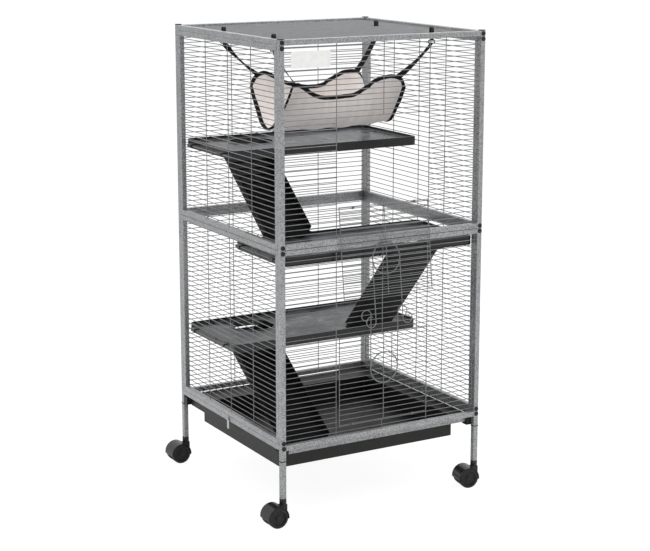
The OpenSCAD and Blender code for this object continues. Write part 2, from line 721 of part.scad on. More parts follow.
module hammock() color([0.45, 0.42, 0.38]) {
    nu = hammock_steps_u + 1;
    nv = hammock_steps_v + 1;
    points = [for (side = [-1, 1], i = [0:nu - 1], j = [0:nv - 1]) sling_point(i, j, side)];
    skins = [for (i = [0:nu - 2], j = [0:nv - 2]) each [
        [at(0, i, j), at(0, i + 1, j), at(0, i + 1, j + 1)],
        [at(0, i, j), at(0, i + 1, j + 1), at(0, i, j + 1)],
        [at(1, i, j), at(1, i + 1, j + 1), at(1, i + 1, j)],
        [at(1, i, j), at(1, i, j + 1), at(1, i + 1, j + 1)]]];
    ends = [for (j = [0:nv - 2]) each [
        [at(0, 0, j), at(0, 0, j + 1), at(1, 0, j + 1)],
        [at(0, 0, j), at(1, 0, j + 1), at(1, 0, j)],
        [at(0, nu - 1, j), at(1, nu - 1, j + 1), at(0, nu - 1, j + 1)],
        [at(0, nu - 1, j), at(1, nu - 1, j), at(1, nu - 1, j + 1)]]];
    edges = [for (i = [0:nu - 2]) each [
        [at(0, i, 0), at(1, i + 1, 0), at(0, i + 1, 0)],
        [at(0, i, 0), at(1, i, 0), at(1, i + 1, 0)],
        [at(0, i, nv - 1), at(0, i + 1, nv - 1), at(1, i + 1, nv - 1)],
        [at(0, i, nv - 1), at(1, i + 1, nv - 1), at(1, i, nv - 1)]]];
    polyhedron(points = points, faces = concat(skins, ends, edges));
}

// The four ears of the hammock with the clips that they hang from
function clip_at(end, side) = [
    end < 0 ? -post_x + left_clip_x : -post_x + right_clip_x,
    hammock_mid_y + side * clip_y,
    top_z - half_tube];
function ear_at(end, side) = sling(end < 0 ? ear_u : 1 - ear_u, side) + [0, 0, strap_up];

module at_ears() for (end = [-1, 1], side = [-1, 1]) {
    $end = end;
    $side = side;
    children();
}

module hammock_straps() color([0.08, 0.08, 0.08]) at_ears() {
    low = ear_at($end, $side);
    high = clip_wire($end, $side) - [0, 0, strap_gap + clip_l];
    run = high - low;
    heading = atan2(run[1], run[0]);
    climb = atan2(run[2], norm([run[0], run[1]]));
    translate(low) rotate([0, 0, heading]) rotate([0, -climb, 0])
        translate([0, -strap_w / 2, -strap_t / 2]) cube([norm(run), strap_w, strap_t]);
}

// Hook over a wire of the top mesh, with a bar for the strap
module hammock_clips() color([0.08, 0.08, 0.08]) at_ears() translate(clip_wire($end, $side)) {
    in = wire_r + hook_clear;
    translate([clip_w / 2, 0, 0]) rotate([90, 0, -90]) linear_extrude(clip_w) difference() {
        union() {
            translate([0, clip_top]) circle(in + clip_t, $fn = round_fn);
            translate([in, -clip_l]) square([clip_t, clip_l + clip_top]);
            translate([-in - clip_t, -clip_drop]) square([clip_t, clip_drop + clip_top]);
        }
        translate([0, clip_top]) circle(in, $fn = round_fn);
        translate([-in, -clip_l - eps]) square([2 * in, clip_l + clip_top]);
    }
}

// Nearest wire of the top mesh to a clip
function clip_wire(end, side) =
    let (at = clip_at(end, side), count = floor((2 * in_y - wire_pitch) / wire_pitch))
    [at[0], (round(at[1] / wire_pitch + count / 2) - count / 2) * wire_pitch, at[2]];

// ---- Tray ----

module tray() color([0.16, 0.15, 0.14]) {
    size = pan_high - pan_low;
    middle = (pan_high + pan_low) / 2;
    difference() {
        union() {
            translate([0, 0, lip_low_z]) linear_extrude(lip_t)
                rounded_rect(2 * tray_x, 2 * tray_y, tray_wall);
            translate([middle[0], middle[1], tray_low_z]) linear_extrude(tray_depth + eps)
                rounded_rect(size[0], size[1], tray_r);
            for (s = [-1, 1]) translate([s * (tray_x - tray_wall / 2), 0, lip_low_z - skirt_h / 2])
                cube([tray_wall, 2 * (tray_y - skirt_in), skirt_h + 2 * eps], center = true);
        }
        translate([middle[0], middle[1], tray_low_z + tray_wall]) linear_extrude(tray_depth + lip_t)
            rounded_rect(size[0] - 2 * tray_wall, size[1] - 2 * tray_wall, tray_r - tray_wall);
    }
}

module tray_stud() color([0.2, 0.2, 0.2])
    translate([-tray_x, stud_y, lip_low_z - skirt_h / 2]) rotate([0, -90, 0])
        cylinder(h = stud_h, d = stud_d, $fn = round_fn);

module runner_rails() color("silver") for (s = [-1, 1])
    bar_x(-bracket_x, bracket_x, s * (in_y - bracket_wall - half_tube), runner_top_z - half_tube);

module runner_brackets() color([0.12, 0.12, 0.12]) for (x = [-1, 1], y = [-1, 1])
    translate([x * (bracket_x + bracket_l / 2), y * (in_y - (bracket_wall + tube) / 2),
        runner_top_z - bracket_h / 2])
        cube([bracket_l, bracket_wall + tube, bracket_h], center = true);

module tray_button() color([0.3, 0.3, 0.3]) {
    reach = button_l - button_w / 2;
    translate([-post_x - half_tube - button_gap, 0, base_z + half_tube]) rotate([90, 0, -90])
        linear_extrude(button_t) difference() {
            union() {
                for (y = [0, -reach]) translate([0, y]) circle(d = button_w, $fn = round_fn);
                translate([-button_w / 2, -reach]) square([button_w, reach]);
            }
            circle(screw_d / 2 + bearing_clear, $fn = round_fn);
        }
}

module button_screw() color("black")
    translate([-post_x - half_tube - 2 * button_gap - button_t, 0, base_z + half_tube]) rotate([0, 90, 0]) {
        cylinder(h = half_tube + button_t + 2 * button_gap, d = screw_d, $fn = round_fn);
        translate([0, 0, -screw_d / 2]) cylinder(h = screw_d / 2, d = 2 * screw_d, $fn = round_fn);
    }

// ---- Casters ----

module caster_stems() color("silver") at_posts()
    translate([0, 0, stem_low_z]) cylinder(h = caster_h + stem_in - stem_low_z, d = stem_d, $fn = round_fn);

// Places a caster that trails in the given direction under its post
module on_caster(sx, sy, turn) translate([sx * post_x, sy * post_y, 0]) rotate([0, 0, turn]) children();

// Hood with a web between the wheels, drawn trailing along +X
module hood() color([0.14, 0.14, 0.15]) difference() {
    union() {
        hood_shell();
        translate([trail, 0, axle_z]) rotate([90, 0, 0])
            cylinder(h = web_t, d = axle_boss_d, center = true, $fn = round_fn);
        translate([0, 0, boss_low_z])
            cylinder(h = caster_h - swivel_gap - boss_low_z, r = boss_r, $fn = round_fn);
        translate([-boss_r, -web_t / 2, stem_low_z - web_floor])
            cube([trail + boss_r, web_t, boss_low_z - stem_low_z + web_floor + eps]);
    }
    translate([0, 0, stem_low_z - bearing_clear])
        cylinder(h = caster_h, r = stem_d / 2 + bearing_clear, $fn = round_fn);
    translate([trail, 0, axle_z]) rotate([90, 0, 0])
        cylinder(h = 2 * hood_half_w, r = axle_d / 2 + bearing_clear, center = true, $fn = round_fn);
}

// The fender over both wheels, open below, and the web that it is moulded on
module hood_shell() translate([trail, 0, axle_z]) rotate([90, 0, 0]) difference() {
    cylinder(h = 2 * hood_half_w, r = hood_r, center = true, $fn = large_fn);
    for (s = [-1, 1]) translate([0, 0, s * (web_t / 2 + hood_half_w)])
        cylinder(h = 2 * hood_half_w, r = hood_r - hood_t, center = true, $fn = large_fn);
    translate([-2 * hood_r, -3 * hood_r - hood_skirt, -2 * hood_half_w])
        cube([4 * hood_r, 3 * hood_r, 4 * hood_half_w]);
}

// Two wheels on one axle, each with a recess round its hub in the outer face
module wheels() color([0.12, 0.12, 0.12]) translate([trail, 0, axle_z]) rotate([90, 0, 0])
    rotate_extrude($fn = large_fn) {
        for (side = [-1, 1]) wheel_profile(side);
        translate([0, -web_t / 2 - wheel_gap - eps]) square([axle_d / 2, web_t + 2 * wheel_gap + 2 * eps]);
    }

// Half of a wheel's section, with the wheel's inner face at the gap beside the web
module wheel_profile(side) {
    outer = web_t / 2 + wheel_gap + wheel_w;
    difference() {
        translate([0, side > 0 ? outer - wheel_w : -outer]) {
            square([axle_z - wheel_r, wheel_w]);
            translate([0, wheel_r]) square([axle_z, wheel_w - 2 * wheel_r]);
            for (y = [wheel_r, wheel_w - wheel_r])
                translate([axle_z - wheel_r, y]) circle(wheel_r, $fn = bend_fn);
        }
        translate([hub_d / 2, side > 0 ? outer - wheel_recess : -outer - wheel_recess])
            square([axle_z - tyre_t - hub_d / 2, 2 * wheel_recess]);
    }
}

lower_posts();
upper_posts();
legs();
leg_rings();
post_caps();
bolt_caps();
wall_rails(-1, base_z, mid_z);  // lower_front_rails
wall_rails(1, base_z, mid_z);  // lower_back_rails
wall_rails(-1, mid_z, top_z);  // upper_front_rails
wall_rails(1, mid_z, top_z);  // upper_back_rails
side_frame(-1, base_z + tube, mid_z);  // lower_left_frame
side_frame(1, base_z + tube, mid_z);  // lower_right_frame
side_frame(-1, mid_z, top_z - tube);  // upper_left_frame
side_frame(1, mid_z, top_z - tube);  // upper_right_frame
base_side_rails();
top_side_rails();
front_mesh(lower_row_z, lower_sill_z, base_z, mid_z);  // lower_front_mesh
back_mesh(lower_row_z, base_z, mid_z);  // lower_back_mesh
side_mesh(-1, lower_row_z, base_z + tube, mid_z);  // lower_left_mesh
side_mesh(1, lower_row_z, base_z + tube, mid_z);  // lower_right_mesh
front_mesh(upper_row_z, upper_sill_z, mid_z, top_z);  // upper_front_mesh
back_mesh(upper_row_z, mid_z, top_z);  // upper_back_mesh
side_mesh(-1, upper_row_z, mid_z, top_z - tube);  // upper_left_mesh
side_mesh(1, upper_row_z, mid_z, top_z - tube);  // upper_right_mesh
top_mesh();
on_hinge(upper_sill_z, 180 - fold_lean) door();  // upper_door
door_rings(upper_sill_z);  // upper_door_rings
on_hinge(upper_sill_z, 180 - fold_lean) latch(upper_latch_reach);  // upper_latch
on_hinge(lower_sill_z, 0) door();  // lower_door
door_rings(lower_sill_z);  // lower_door_rings
on_hinge(lower_sill_z, 0) latch(lower_latch_reach);  // lower_latch
shelf(lower_rim_z, lower_shelf_d, 1, shelf_wall_gap, lower_row_z, -shelf_l / 2 + hole_end, ramp_left_x,  // lower_shelf
        ramp_back_y);
shelf(middle_rim_z, middle_shelf_d, -1, middle_wall_gap, lower_row_z, shelf_l / 2 - hole_end,  // middle_shelf
        ramp_right_x, ramp_front_y);
shelf(upper_rim_z, upper_shelf_d, 1, shelf_wall_gap, upper_row_z, -shelf_l / 2 + hole_end, ramp_left_x,  // upper_shelf
        ramp_back_y);
ramp(ramp_left_x, post_y - lower_ramp_foot, tray_low_z + tray_wall + foot_gap, ramp_back_y,  // lower_ramp
        lower_rim_z - shelf_h, -1);
ramp(ramp_right_x, post_y - shelf_wall_gap - lower_shelf_d + shelf_t, lower_rim_z + foot_gap,  // middle_ramp
        ramp_front_y, middle_rim_z - shelf_h, 1);
ramp(ramp_left_x, -post_y + middle_wall_gap + middle_shelf_d - shelf_t, middle_rim_z + foot_gap,  // upper_ramp
        ramp_back_y, upper_rim_z - shelf_h, -1);
hammock();
hammock_straps();
hammock_clips();
tray();
tray_stud();
runner_rails();
runner_brackets();
tray_button();
button_screw();
caster_stems();
on_caster(-1, -1, caster_turn[0]) hood();  // front_left_hood
on_caster(1, -1, caster_turn[1]) hood();  // front_right_hood
on_caster(-1, 1, caster_turn[2]) hood();  // back_left_hood
on_caster(1, 1, caster_turn[3]) hood();  // back_right_hood
on_caster(-1, -1, caster_turn[0]) wheels();  // front_left_wheels
on_caster(1, -1, caster_turn[1]) wheels();  // front_right_wheels
on_caster(-1, 1, caster_turn[2]) wheels();  // back_left_wheels
on_caster(1, 1, caster_turn[3]) wheels();  // back_right_wheels
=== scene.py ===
"""Looks of a two-storey ferret cage on casters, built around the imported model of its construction.

Sizes are in metres, angles in degrees, and the scales of textures in cycles a metre.
"""

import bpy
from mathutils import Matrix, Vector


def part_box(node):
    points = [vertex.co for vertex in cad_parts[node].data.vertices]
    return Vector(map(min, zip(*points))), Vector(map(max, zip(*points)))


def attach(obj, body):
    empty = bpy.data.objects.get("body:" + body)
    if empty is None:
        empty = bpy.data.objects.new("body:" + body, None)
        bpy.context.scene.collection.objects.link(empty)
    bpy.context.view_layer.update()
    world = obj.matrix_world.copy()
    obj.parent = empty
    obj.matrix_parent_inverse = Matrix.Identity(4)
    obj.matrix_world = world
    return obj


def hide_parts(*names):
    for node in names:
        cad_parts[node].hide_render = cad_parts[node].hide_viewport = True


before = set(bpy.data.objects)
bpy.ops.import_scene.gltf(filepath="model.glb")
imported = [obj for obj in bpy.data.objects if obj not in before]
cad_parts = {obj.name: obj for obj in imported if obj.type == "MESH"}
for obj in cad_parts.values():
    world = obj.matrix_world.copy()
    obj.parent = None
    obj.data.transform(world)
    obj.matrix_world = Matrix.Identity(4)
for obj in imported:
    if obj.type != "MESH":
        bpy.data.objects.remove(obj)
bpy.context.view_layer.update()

import logging
import math
from abc import ABC, abstractmethod
from collections.abc import Callable, Iterable
from dataclasses import dataclass, field
from enum import Enum
from typing import Union

import bmesh
import bpy
from mathutils import Vector

LOG = logging.getLogger("ferret_cage")
WHITE = (1.0, 1.0, 1.0, 1.0)
X, Y, Z = Vector((1.0, 0.0, 0.0)), Vector((0.0, 1.0, 0.0)), Vector((0.0, 0.0, 1.0))
Colour = tuple[float, float, float]
Value = Union["Sock", float, int, tuple]


class Axis(Enum):
    """Axis that a pattern runs along or that a wall faces along."""

    X = 0
    Y = 1
    Z = 2


class Sock:
    """Output socket of a node, on which Python's operators add Math nodes."""

    def __init__(self, tree: "Tree", socket: bpy.types.NodeSocket) -> None:
        """Wraps a socket.

        Args:
            tree: Tree that the socket belongs to.
            socket: The output socket.
        """
        self.tree = tree
        self.socket = socket

    def math(self, operation: str, *others: Value) -> "Sock":
        """Adds one Math node.

        Args:
            operation: The node's operation.
            others: Its further inputs.

        Returns:
            The node's result.
        """
        values = dict(enumerate((self, *others)))
        return self.tree.node("ShaderNodeMath", {"operation": operation}, values)

    def __add__(self, other: Value) -> "Sock":
        """Sum."""
        return self.math("ADD", other)

    def __sub__(self, other: Value) -> "Sock":
        """Difference."""
        return self.math("SUBTRACT", other)

    def __rsub__(self, other: Value) -> "Sock":
        """Difference, with the socket taken away."""
        return self.tree.node("ShaderNodeMath", {"operation": "SUBTRACT"}, {0: other, 1: self})

    def __mul__(self, other: Value) -> "Sock":
        """Product."""
        return self.math("MULTIPLY", other)

    __radd__ = __add__
    __rmul__ = __mul__

    def span(self, low: float, high: float) -> "Sock":
        """Maps low to 0 and high to 1, and stops there.

        Args:
            low: Value that gives 0.
            high: Value that gives 1.

        Returns:
            The mapped value.
        """
        return self.tree.node("ShaderNodeMapRange", {"clamp": True}, {0: self, 1: low, 2: high})

    def mix(self, low: "Colour | Sock", high: "Colour | Sock") -> "Sock":
        """Blends two colours by this value.

        Args:
            low: Colour at 0.
            high: Colour at 1.

        Returns:
            The blended colour.
        """
        first, second = (c if isinstance(c, Sock) else (*c, 1.0) for c in (low, high))
        values = {"Factor": self, "A": first, "B": second}
        return self.tree.node("ShaderNodeMix", {"data_type": "RGBA"}, values, "Result")


class Tree:
    """Node tree of one material or of the world, whose nodes all come from one method."""

    def __init__(self, owner: bpy.types.Material | bpy.types.World) -> None:
        """Starts an empty tree.

        Args:
            owner: Material or world to fill.
        """
        owner.use_nodes = True
        self.tree = owner.node_tree
        self.tree.nodes.clear()

    def node(self, kind: str, settings: dict | None = None, values: dict | None = None,
             out: str | int = 0) -> Sock:
        """Adds a node.

        Args:
            kind: The node's type.
            settings: Its settings, set first.
            values: Values or links of its sockets, by name or number.
            out: Output wanted, by name or number.

        Returns:
            That output.
        """
        made = self.tree.nodes.new(kind)
        for key, value in (settings or {}).items():
            setattr(made, key, value)
        for key, value in (values or {}).items():
            self.feed(self.pick(made.inputs, key), value)
        return Sock(self, self.pick(made.outputs, out))

    @staticmethod
    def pick(sockets: Iterable, key: str | int) -> bpy.types.NodeSocket:
        """Finds a socket that is switched on.

        Args:
            sockets: Inputs or outputs of a node.
            key: Name or number of the socket.

        Returns:
            The socket.
        """
        if isinstance(key, int):
            return sockets[key]
        return next(s for s in sockets if s.name == key and s.enabled)

    def feed(self, socket: bpy.types.NodeSocket, value: Value) -> None:
        """Links a socket or sets its value.

        Args:
            socket: The input socket.
            value: Output to link, or value to set.
        """
        if isinstance(value, Sock):
            self.tree.links.new(value.socket, socket)
        else:
            socket.default_value = value

    def place(self) -> Sock:
        """Coordinates in metres."""
        return self.node("ShaderNodeTexCoord", out="Object")

    def facing_up(self) -> Sock:
        """Height of the surface's normal, from -1 facing down to 1 facing up."""
        normal = self.node("ShaderNodeNewGeometry", out="Normal")
        return self.node("ShaderNodeSeparateXYZ", {}, {0: normal}, "Z")

    def noise(self, at: Sock, scale: float, detail: float = 3.0) -> Sock:
        """Cloudy noise from 0 to 1, with the scale in cycles a metre."""
        return self.node("ShaderNodeTexNoise", {}, {"Vector": at, "Scale": scale, "Detail": detail})

    def bump(self, height: Sock, depth: float) -> Sock:
        """Normal of a surface raised by a height from 0 to 1 times a depth in metres."""
        return self.node("ShaderNodeBump", {}, {"Strength": 1.0, "Distance": depth, "Height": height})

    def surface(self, **values: Value) -> None:
        """Adds the shader and the output; an underscore in a name stands for a space."""
        named = {key.replace("_", " "): value for key, value in values.items()}
        self.output(self.node("ShaderNodeBsdfPrincipled", {}, named))

    def output(self, shader: Sock, kind: str = "ShaderNodeOutputMaterial") -> None:
        """Links a shader to a new output node of a kind."""
        made = self.tree.nodes.new(kind)
        self.feed(made.inputs["Surface"], shader)


@dataclass(frozen=True)
class Finish(ABC):
    """A finish that makes one material."""

    name: str
    colour: Colour

    def material(self) -> bpy.types.Material:
        """Makes the material, or finds it if it is made.

        Returns:
            The material.
        """
        found = bpy.data.materials.get(self.name)
        if found is None:
            found = bpy.data.materials.new(self.name)
            found.diffuse_color = (*self.colour, 1.0)
            self.paint(Tree(found))
        return found

    @abstractmethod
    def paint(self, tree: Tree) -> None:
        """Fills the material's tree."""

    def shade(self, factor: float) -> Colour:
        """The finish's colour made lighter or darker by a factor."""
        return tuple(min(1.0, part * factor) for part in self.colour)


@dataclass(frozen=True)
class HammeredEnamel(Finish):
    """Silver enamel that dries in small round dimples."""

    dimple: float = 0.0036
    depth: float = 0.00022
    warp: float = 0.0016
    warp_scale: float = 420.0
    cloud_scale: float = 18.0
    dark: float = 0.5
    light: float = 1.42
    roughness: float = 0.34
    metallic: float = 0.55

    def paint(self, tree: Tree) -> None:
        """Dimples of a Voronoi pattern over broad clouds of tone.

        Args:
            tree: Tree to fill.
        """
        at = tree.place()
        drift = tree.node("ShaderNodeTexNoise", {}, {"Vector": at, "Scale": self.warp_scale}, "Color")
        warped = tree.node("ShaderNodeVectorMath", {"operation": "MULTIPLY_ADD"},
                           {0: drift, 1: (self.warp,) * 3, 2: at})
        cells = tree.node("ShaderNodeTexVoronoi", {"feature": "SMOOTH_F1"},
                          {"Vector": warped, "Scale": 1 / self.dimple, "Smoothness": 0.6}, "Distance")
        pool = cells.span(0.12, 0.62)
        clouds = tree.noise(at, self.cloud_scale)
        tone = (pool * 0.7 + clouds * 0.3).span(0.1, 0.9).mix(self.shade(self.dark), self.shade(self.light))
        tree.surface(Base_Color=tone, Metallic=self.metallic, Roughness=pool * 0.16 + (self.roughness - 0.08),
                     Normal=tree.bump(pool, self.depth), Coat_Weight=0.25)


@dataclass(frozen=True)
class CoatedWire(Finish):
    """Grey coat on drawn wire, a little uneven."""

    cloud_scale: float = 60.0
    speck_scale: float = 900.0
    grain_scale: float = 1400.0
    depth: float = 0.00004
    roughness: float = 0.36
    metallic: float = 0.5

    def paint(self, tree: Tree) -> None:
        """Slow changes of tone and fine specks.

        Args:
            tree: Tree to fill.
        """
        at = tree.place()
        tone = tree.noise(at, self.cloud_scale) * 0.6 + tree.noise(at, self.speck_scale, 1.0) * 0.4
        tree.surface(Base_Color=tone.span(0.3, 0.7).mix(self.shade(0.8), self.shade(1.18)),
                     Metallic=self.metallic, Roughness=tone * 0.2 + (self.roughness - 0.1),
                     Normal=tree.bump(tree.noise(at, self.grain_scale, 1.0), self.depth))


@dataclass(frozen=True)
class MouldedPlastic(Finish):
    """Moulded plastic with a spark-eroded grain, fine scuffs and a soft gloss."""

    grain: float = 0.0009
    depth: float = 0.00005
    roughness: float = 0.36
    coat: float = 0.2
    specular: float = 0.5
    # Strength and colour factor of the lightening on what faces up, which is dust and painted sheen.
    dust_and_sheen: float = 0.12
    dust_and_sheen_tone: float = 3.0
    streak: tuple[float, float, float] = (14.0, 90.0, 30.0)

    def paint(self, tree: Tree) -> None:
        """Grain in the bump, scuffs in the gloss, and on what faces up a lighter colour that stands for dust
        and for painted sheen.

        Args:
            tree: Tree to fill.
        """
        at = tree.place()
        grain = tree.noise(at, 1 / self.grain, 2.0)
        streaks = tree.node("ShaderNodeMapping", {}, {"Vector": at, "Scale": self.streak})
        scuffs = tree.noise(streaks, 3.0, 5.0).span(0.5, 0.78)
        up = tree.facing_up()
        # What faces up is lightened: a breath of dust, and on the shelves mostly a painted sheen, as their
        # tops reflect the white studio at a grazing view.
        dust_and_sheen_mask = up.span(0.5, 1.0) * tree.noise(at, 25.0, 4.0).span(0.35, 0.75) * self.dust_and_sheen
        clean = tree.noise(at, 12.0).mix(self.shade(0.85), self.shade(1.35))
        tone = dust_and_sheen_mask.mix(clean, self.shade(self.dust_and_sheen_tone))
        tree.surface(Base_Color=tone, Roughness=scuffs * 0.16 + dust_and_sheen_mask * 0.6 + self.roughness,
                     Normal=tree.bump(grain, self.depth), Coat_Weight=self.coat, Coat_Roughness=0.22,
                     Specular_IOR_Level=self.specular)


@dataclass(frozen=True)
class Rubber(Finish):
    """Dull tread rubber with dust in its pores."""

    patch_scale: float = 140.0
    grain_scale: float = 1100.0
    depth: float = 0.00009

    def paint(self, tree: Tree) -> None:
        """Greyed patches and a coarse grain.

        Args:
            tree: Tree to fill.
        """
        at = tree.place()
        worn = tree.noise(at, self.patch_scale, 4.0).span(0.42, 0.72)
        tree.surface(Base_Color=worn.mix(self.shade(0.8), self.shade(2.0)), Roughness=worn * 0.2 + 0.5,
                     Normal=tree.bump(tree.noise(at, self.grain_scale, 2.0), self.depth),
                     Specular_IOR_Level=0.3)


@dataclass(frozen=True)
class Zinc(Finish):
    """Zinc plate with its faint spangle."""

    crystal: float = 0.002
    grain_scale: float = 700.0
    depth: float = 0.00003

    def paint(self, tree: Tree) -> None:
        """Crystal patches in tone and gloss.

        Args:
            tree: Tree to fill.
        """
        at = tree.place()
        spangle = tree.node("ShaderNodeTexVoronoi", {"feature": "F1"},
                            {"Vector": at, "Scale": 1 / self.crystal}, "Color")
        grey = tree.node("ShaderNodeRGBToBW", {}, {0: spangle})
        tree.surface(Base_Color=grey.mix(self.shade(0.8), self.shade(1.15)), Metallic=0.9,
                     Roughness=grey * 0.15 + 0.28,
                     Normal=tree.bump(tree.noise(at, self.grain_scale), self.depth))


@dataclass(frozen=True)
class Fleece(Finish):
    """Brushed fleece with a short nap, slow changes of tone and painted shade that keeps what faces up
    lighter.
    """

    nap: float = 0.0008
    depth: float = 0.0005
    brush_scale: float = 55.0
    lie_scale: float = 9.0

    def paint(self, tree: Tree) -> None:
        """Tufts over brushed patches, with painted shade: lighter on top than on what faces down, as the
        light falls from above.

        Args:
            tree: Tree to fill.
        """
        at = tree.place()
        tufts = tree.noise(at, 1 / self.nap, 3.0)
        brushed = tree.noise(at, self.brush_scale, 4.0)
        lie = tree.noise(at, self.lie_scale, 2.0)
        height = tufts * 0.6 + brushed * 0.4
        up = tree.facing_up()
        nap = tufts * 0.35 + brushed * 0.3 + lie * 0.35
        # Painted shade: two thirds of the tone follows how far the cloth faces up, so the inside and top are
        # lighter and the underside darker.
        tone = nap.span(0.3, 0.7) * 0.35 + up.span(-0.7, 0.25) * 0.65
        tree.surface(Base_Color=tone.mix(self.shade(0.80), self.shade(1.36)), Roughness=0.95,
                     Normal=tree.bump(height, self.depth), Sheen_Weight=0.35, Sheen_Roughness=0.45)


@dataclass(frozen=True)
class Webbing(Finish):
    """Flat woven tape with ribs across it."""

    rib: float = 0.0011
    along: Axis = Axis.Z
    warp_scale: float = 1600.0
    depth: float = 0.00018

    def paint(self, tree: Tree) -> None:
        """Ribs across the tape, each broken by the warp.

        Args:
            tree: Tree to fill.
        """
        at = tree.place()
        part = tree.node("ShaderNodeSeparateXYZ", {}, {0: at}, self.along.value)
        ribs = (part * (math.tau / self.rib)).math("SINE") * 0.5 + 0.5
        warp = tree.noise(at, self.warp_scale, 1.0)
        height = ribs * 0.7 + warp * 0.3
        tree.surface(Base_Color=height.mix(self.shade(0.5), self.shade(2.2)), Roughness=0.85,
                     Normal=tree.bump(height, self.depth), Specular_IOR_Level=0.15)


@dataclass(frozen=True)
class BareEnamel(Finish):
    """Plain white enamel on a small plate."""

    age_scale: float = 70.0
    peel_scale: float = 380.0
    depth: float = 0.00004

    def paint(self, tree: Tree) -> None:
        """A hint of orange peel and of age.

        Args:
            tree: Tree to fill.
        """
        at = tree.place()
        age = tree.noise(at, self.age_scale, 3.0).span(0.4, 0.75)
        tree.surface(Base_Color=age.mix(self.colour, self.shade(0.9)), Roughness=age * 0.1 + 0.28,
                     Normal=tree.bump(tree.noise(at, self.peel_scale, 1.0), self.depth), Coat_Weight=0.3)


FRAME_PAINT = HammeredEnamel("hammered_silver_enamel", (0.258, 0.262, 0.268))
# A dark strip along the seam of the two storeys: painted shadow of the groove between the rounded rails.
SEAM_SHADE = CoatedWire("painted_seam_shadow", (0.045, 0.046, 0.047), metallic=0.0)
WIRE_COAT = CoatedWire("silver_coated_wire", (0.175, 0.178, 0.182))
# The shelves' high dust settings paint a sheen: their tops are made much lighter, as a reflection of the
# bright studio would make them.
SHELF_PLASTIC = MouldedPlastic("charcoal_shelf_plastic", (0.0085, 0.009, 0.010), roughness=0.22, coat=0.22,
                               specular=0.36, dust_and_sheen=0.9, dust_and_sheen_tone=20.0)
RAMP_PLASTIC = MouldedPlastic("black_ramp_plastic", (0.0055, 0.0055, 0.006), depth=0.00009, roughness=0.55,
                              coat=0.0, specular=0.18, dust_and_sheen=0.05)
TRAY_PLASTIC = MouldedPlastic("black_tray_plastic", (0.0085, 0.008, 0.0072), roughness=0.42, coat=0.0,
                              specular=0.32, dust_and_sheen=0.06)
HOOD_PLASTIC = MouldedPlastic("black_hood_plastic", (0.008, 0.008, 0.0085), roughness=0.26, coat=0.1,
                              specular=0.35, dust_and_sheen=0.04)
TRIM_PLASTIC = MouldedPlastic("black_trim_plastic", (0.008, 0.008, 0.008), roughness=0.42, coat=0.0,
                              specular=0.3, dust_and_sheen=0.04)
TREAD_RUBBER = Rubber("tread_rubber", (0.012, 0.012, 0.012))
ZINC_PLATE = Zinc("zinc_plate", (0.45, 0.46, 0.47))
HAMMOCK_FLEECE = Fleece("taupe_fleece", (0.60, 0.555, 0.535))
HAMMOCK_TAPE = Webbing("black_binding_tape", (0.005, 0.005, 0.0055), rib=0.0016, along=Axis.X)
STRAP_TAPE = Webbing("black_strap_webbing", (0.005, 0.005, 0.0055))
PLATE_ENAMEL = BareEnamel("white_plate_enamel", (0.82, 0.82, 0.80))


def mesh_piece(name: str, mesh: bpy.types.Mesh, finish: Finish, slot: str,
               smooth: bool = True) -> bpy.types.Object:
    """Makes a piece of the object from a mesh.

    Args:
        name: The piece's name.
        mesh: Its mesh, in metres.
        finish: Its finish.
        slot: Material slot of the record that the finish belongs to; not used.
        smooth: Whether its faces are shaded smooth.

    Returns:
        The piece.
    """
    piece = bpy.data.objects.new(name, mesh)
    bpy.context.scene.collection.objects.link(piece)
    piece.data.materials.append(finish.material())
    for face in mesh.polygons:
        face.use_smooth = smooth
    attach(piece, "cage")
    LOG.info("made %s: %d faces", name, len(mesh.polygons))
    return piece


def skin_mesh(name: str, shape: bmesh.types.BMesh) -> bpy.types.Mesh:
    """Turns a finished skin into a mesh, with its faces turned outwards.

    Args:
        name: The mesh's name.
        shape: The skin, which is used up.

    Returns:
        The mesh.
    """
    bmesh.ops.recalc_face_normals(shape, faces=shape.faces)
    mesh = bpy.data.meshes.new(name)
    shape.to_mesh(mesh)
    shape.free()
    return mesh


def join_rings(shape: bmesh.types.BMesh, a: list[bmesh.types.BMVert], b: list[bmesh.types.BMVert]) -> None:
    """Joins two rings of as many points with faces."""
    for k in range(len(a)):
        shape.faces.new((a[k], a[(k + 1) % len(a)], b[(k + 1) % len(b)], b[k]))


def crease(piece: bpy.types.Object, degrees: float) -> None:
    """Keeps a piece's edges sharp where its faces meet at more than an angle."""
    sharp = piece.modifiers.new("creases", "EDGE_SPLIT")
    sharp.split_angle = math.radians(degrees)


def grid_mesh(name: str, columns: int, rows: int, point: Callable[[float, float], Vector],
              round_trip: bool = False) -> bpy.types.Mesh:
    """Makes a mesh of a grid of points.

    Args:
        name: The mesh's name.
        columns: Number of faces along the grid.
        rows: Number of faces across it.
        point: Gives the place at shares from 0 to 1 along and across.
        round_trip: Whether the last row joins the first.

    Returns:
        The mesh.
    """
    across = rows if round_trip else rows + 1
    points = [point(i / columns, j / rows) for i in range(columns + 1) for j in range(across)]
    faces = [(i * across + j, (i + 1) * across + j, (i + 1) * across + k, i * across + k)
             for i in range(columns) for j in range(rows) for k in [(j + 1) % across]]
    mesh = bpy.data.meshes.new(name)
    mesh.from_pydata(points, [], faces)
    mesh.validate()
    return mesh


@dataclass
class SubAssembly(ABC):
    """A group of pieces that are built and dressed together."""

    @abstractmethod
    def build(self) -> None:
        """Builds and dresses the group's pieces."""

    @staticmethod
    def dress(finish: Finish, *names: str) -> None:
        """Gives nodes of the model a finish.

        Args:
            finish: The finish.
            names: The nodes.
        """
        for name in names:
            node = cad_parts[name]
            node.data.materials.clear()
            node.data.materials.append(finish.material())
            LOG.info("dressed %s in %s", name, finish.name)


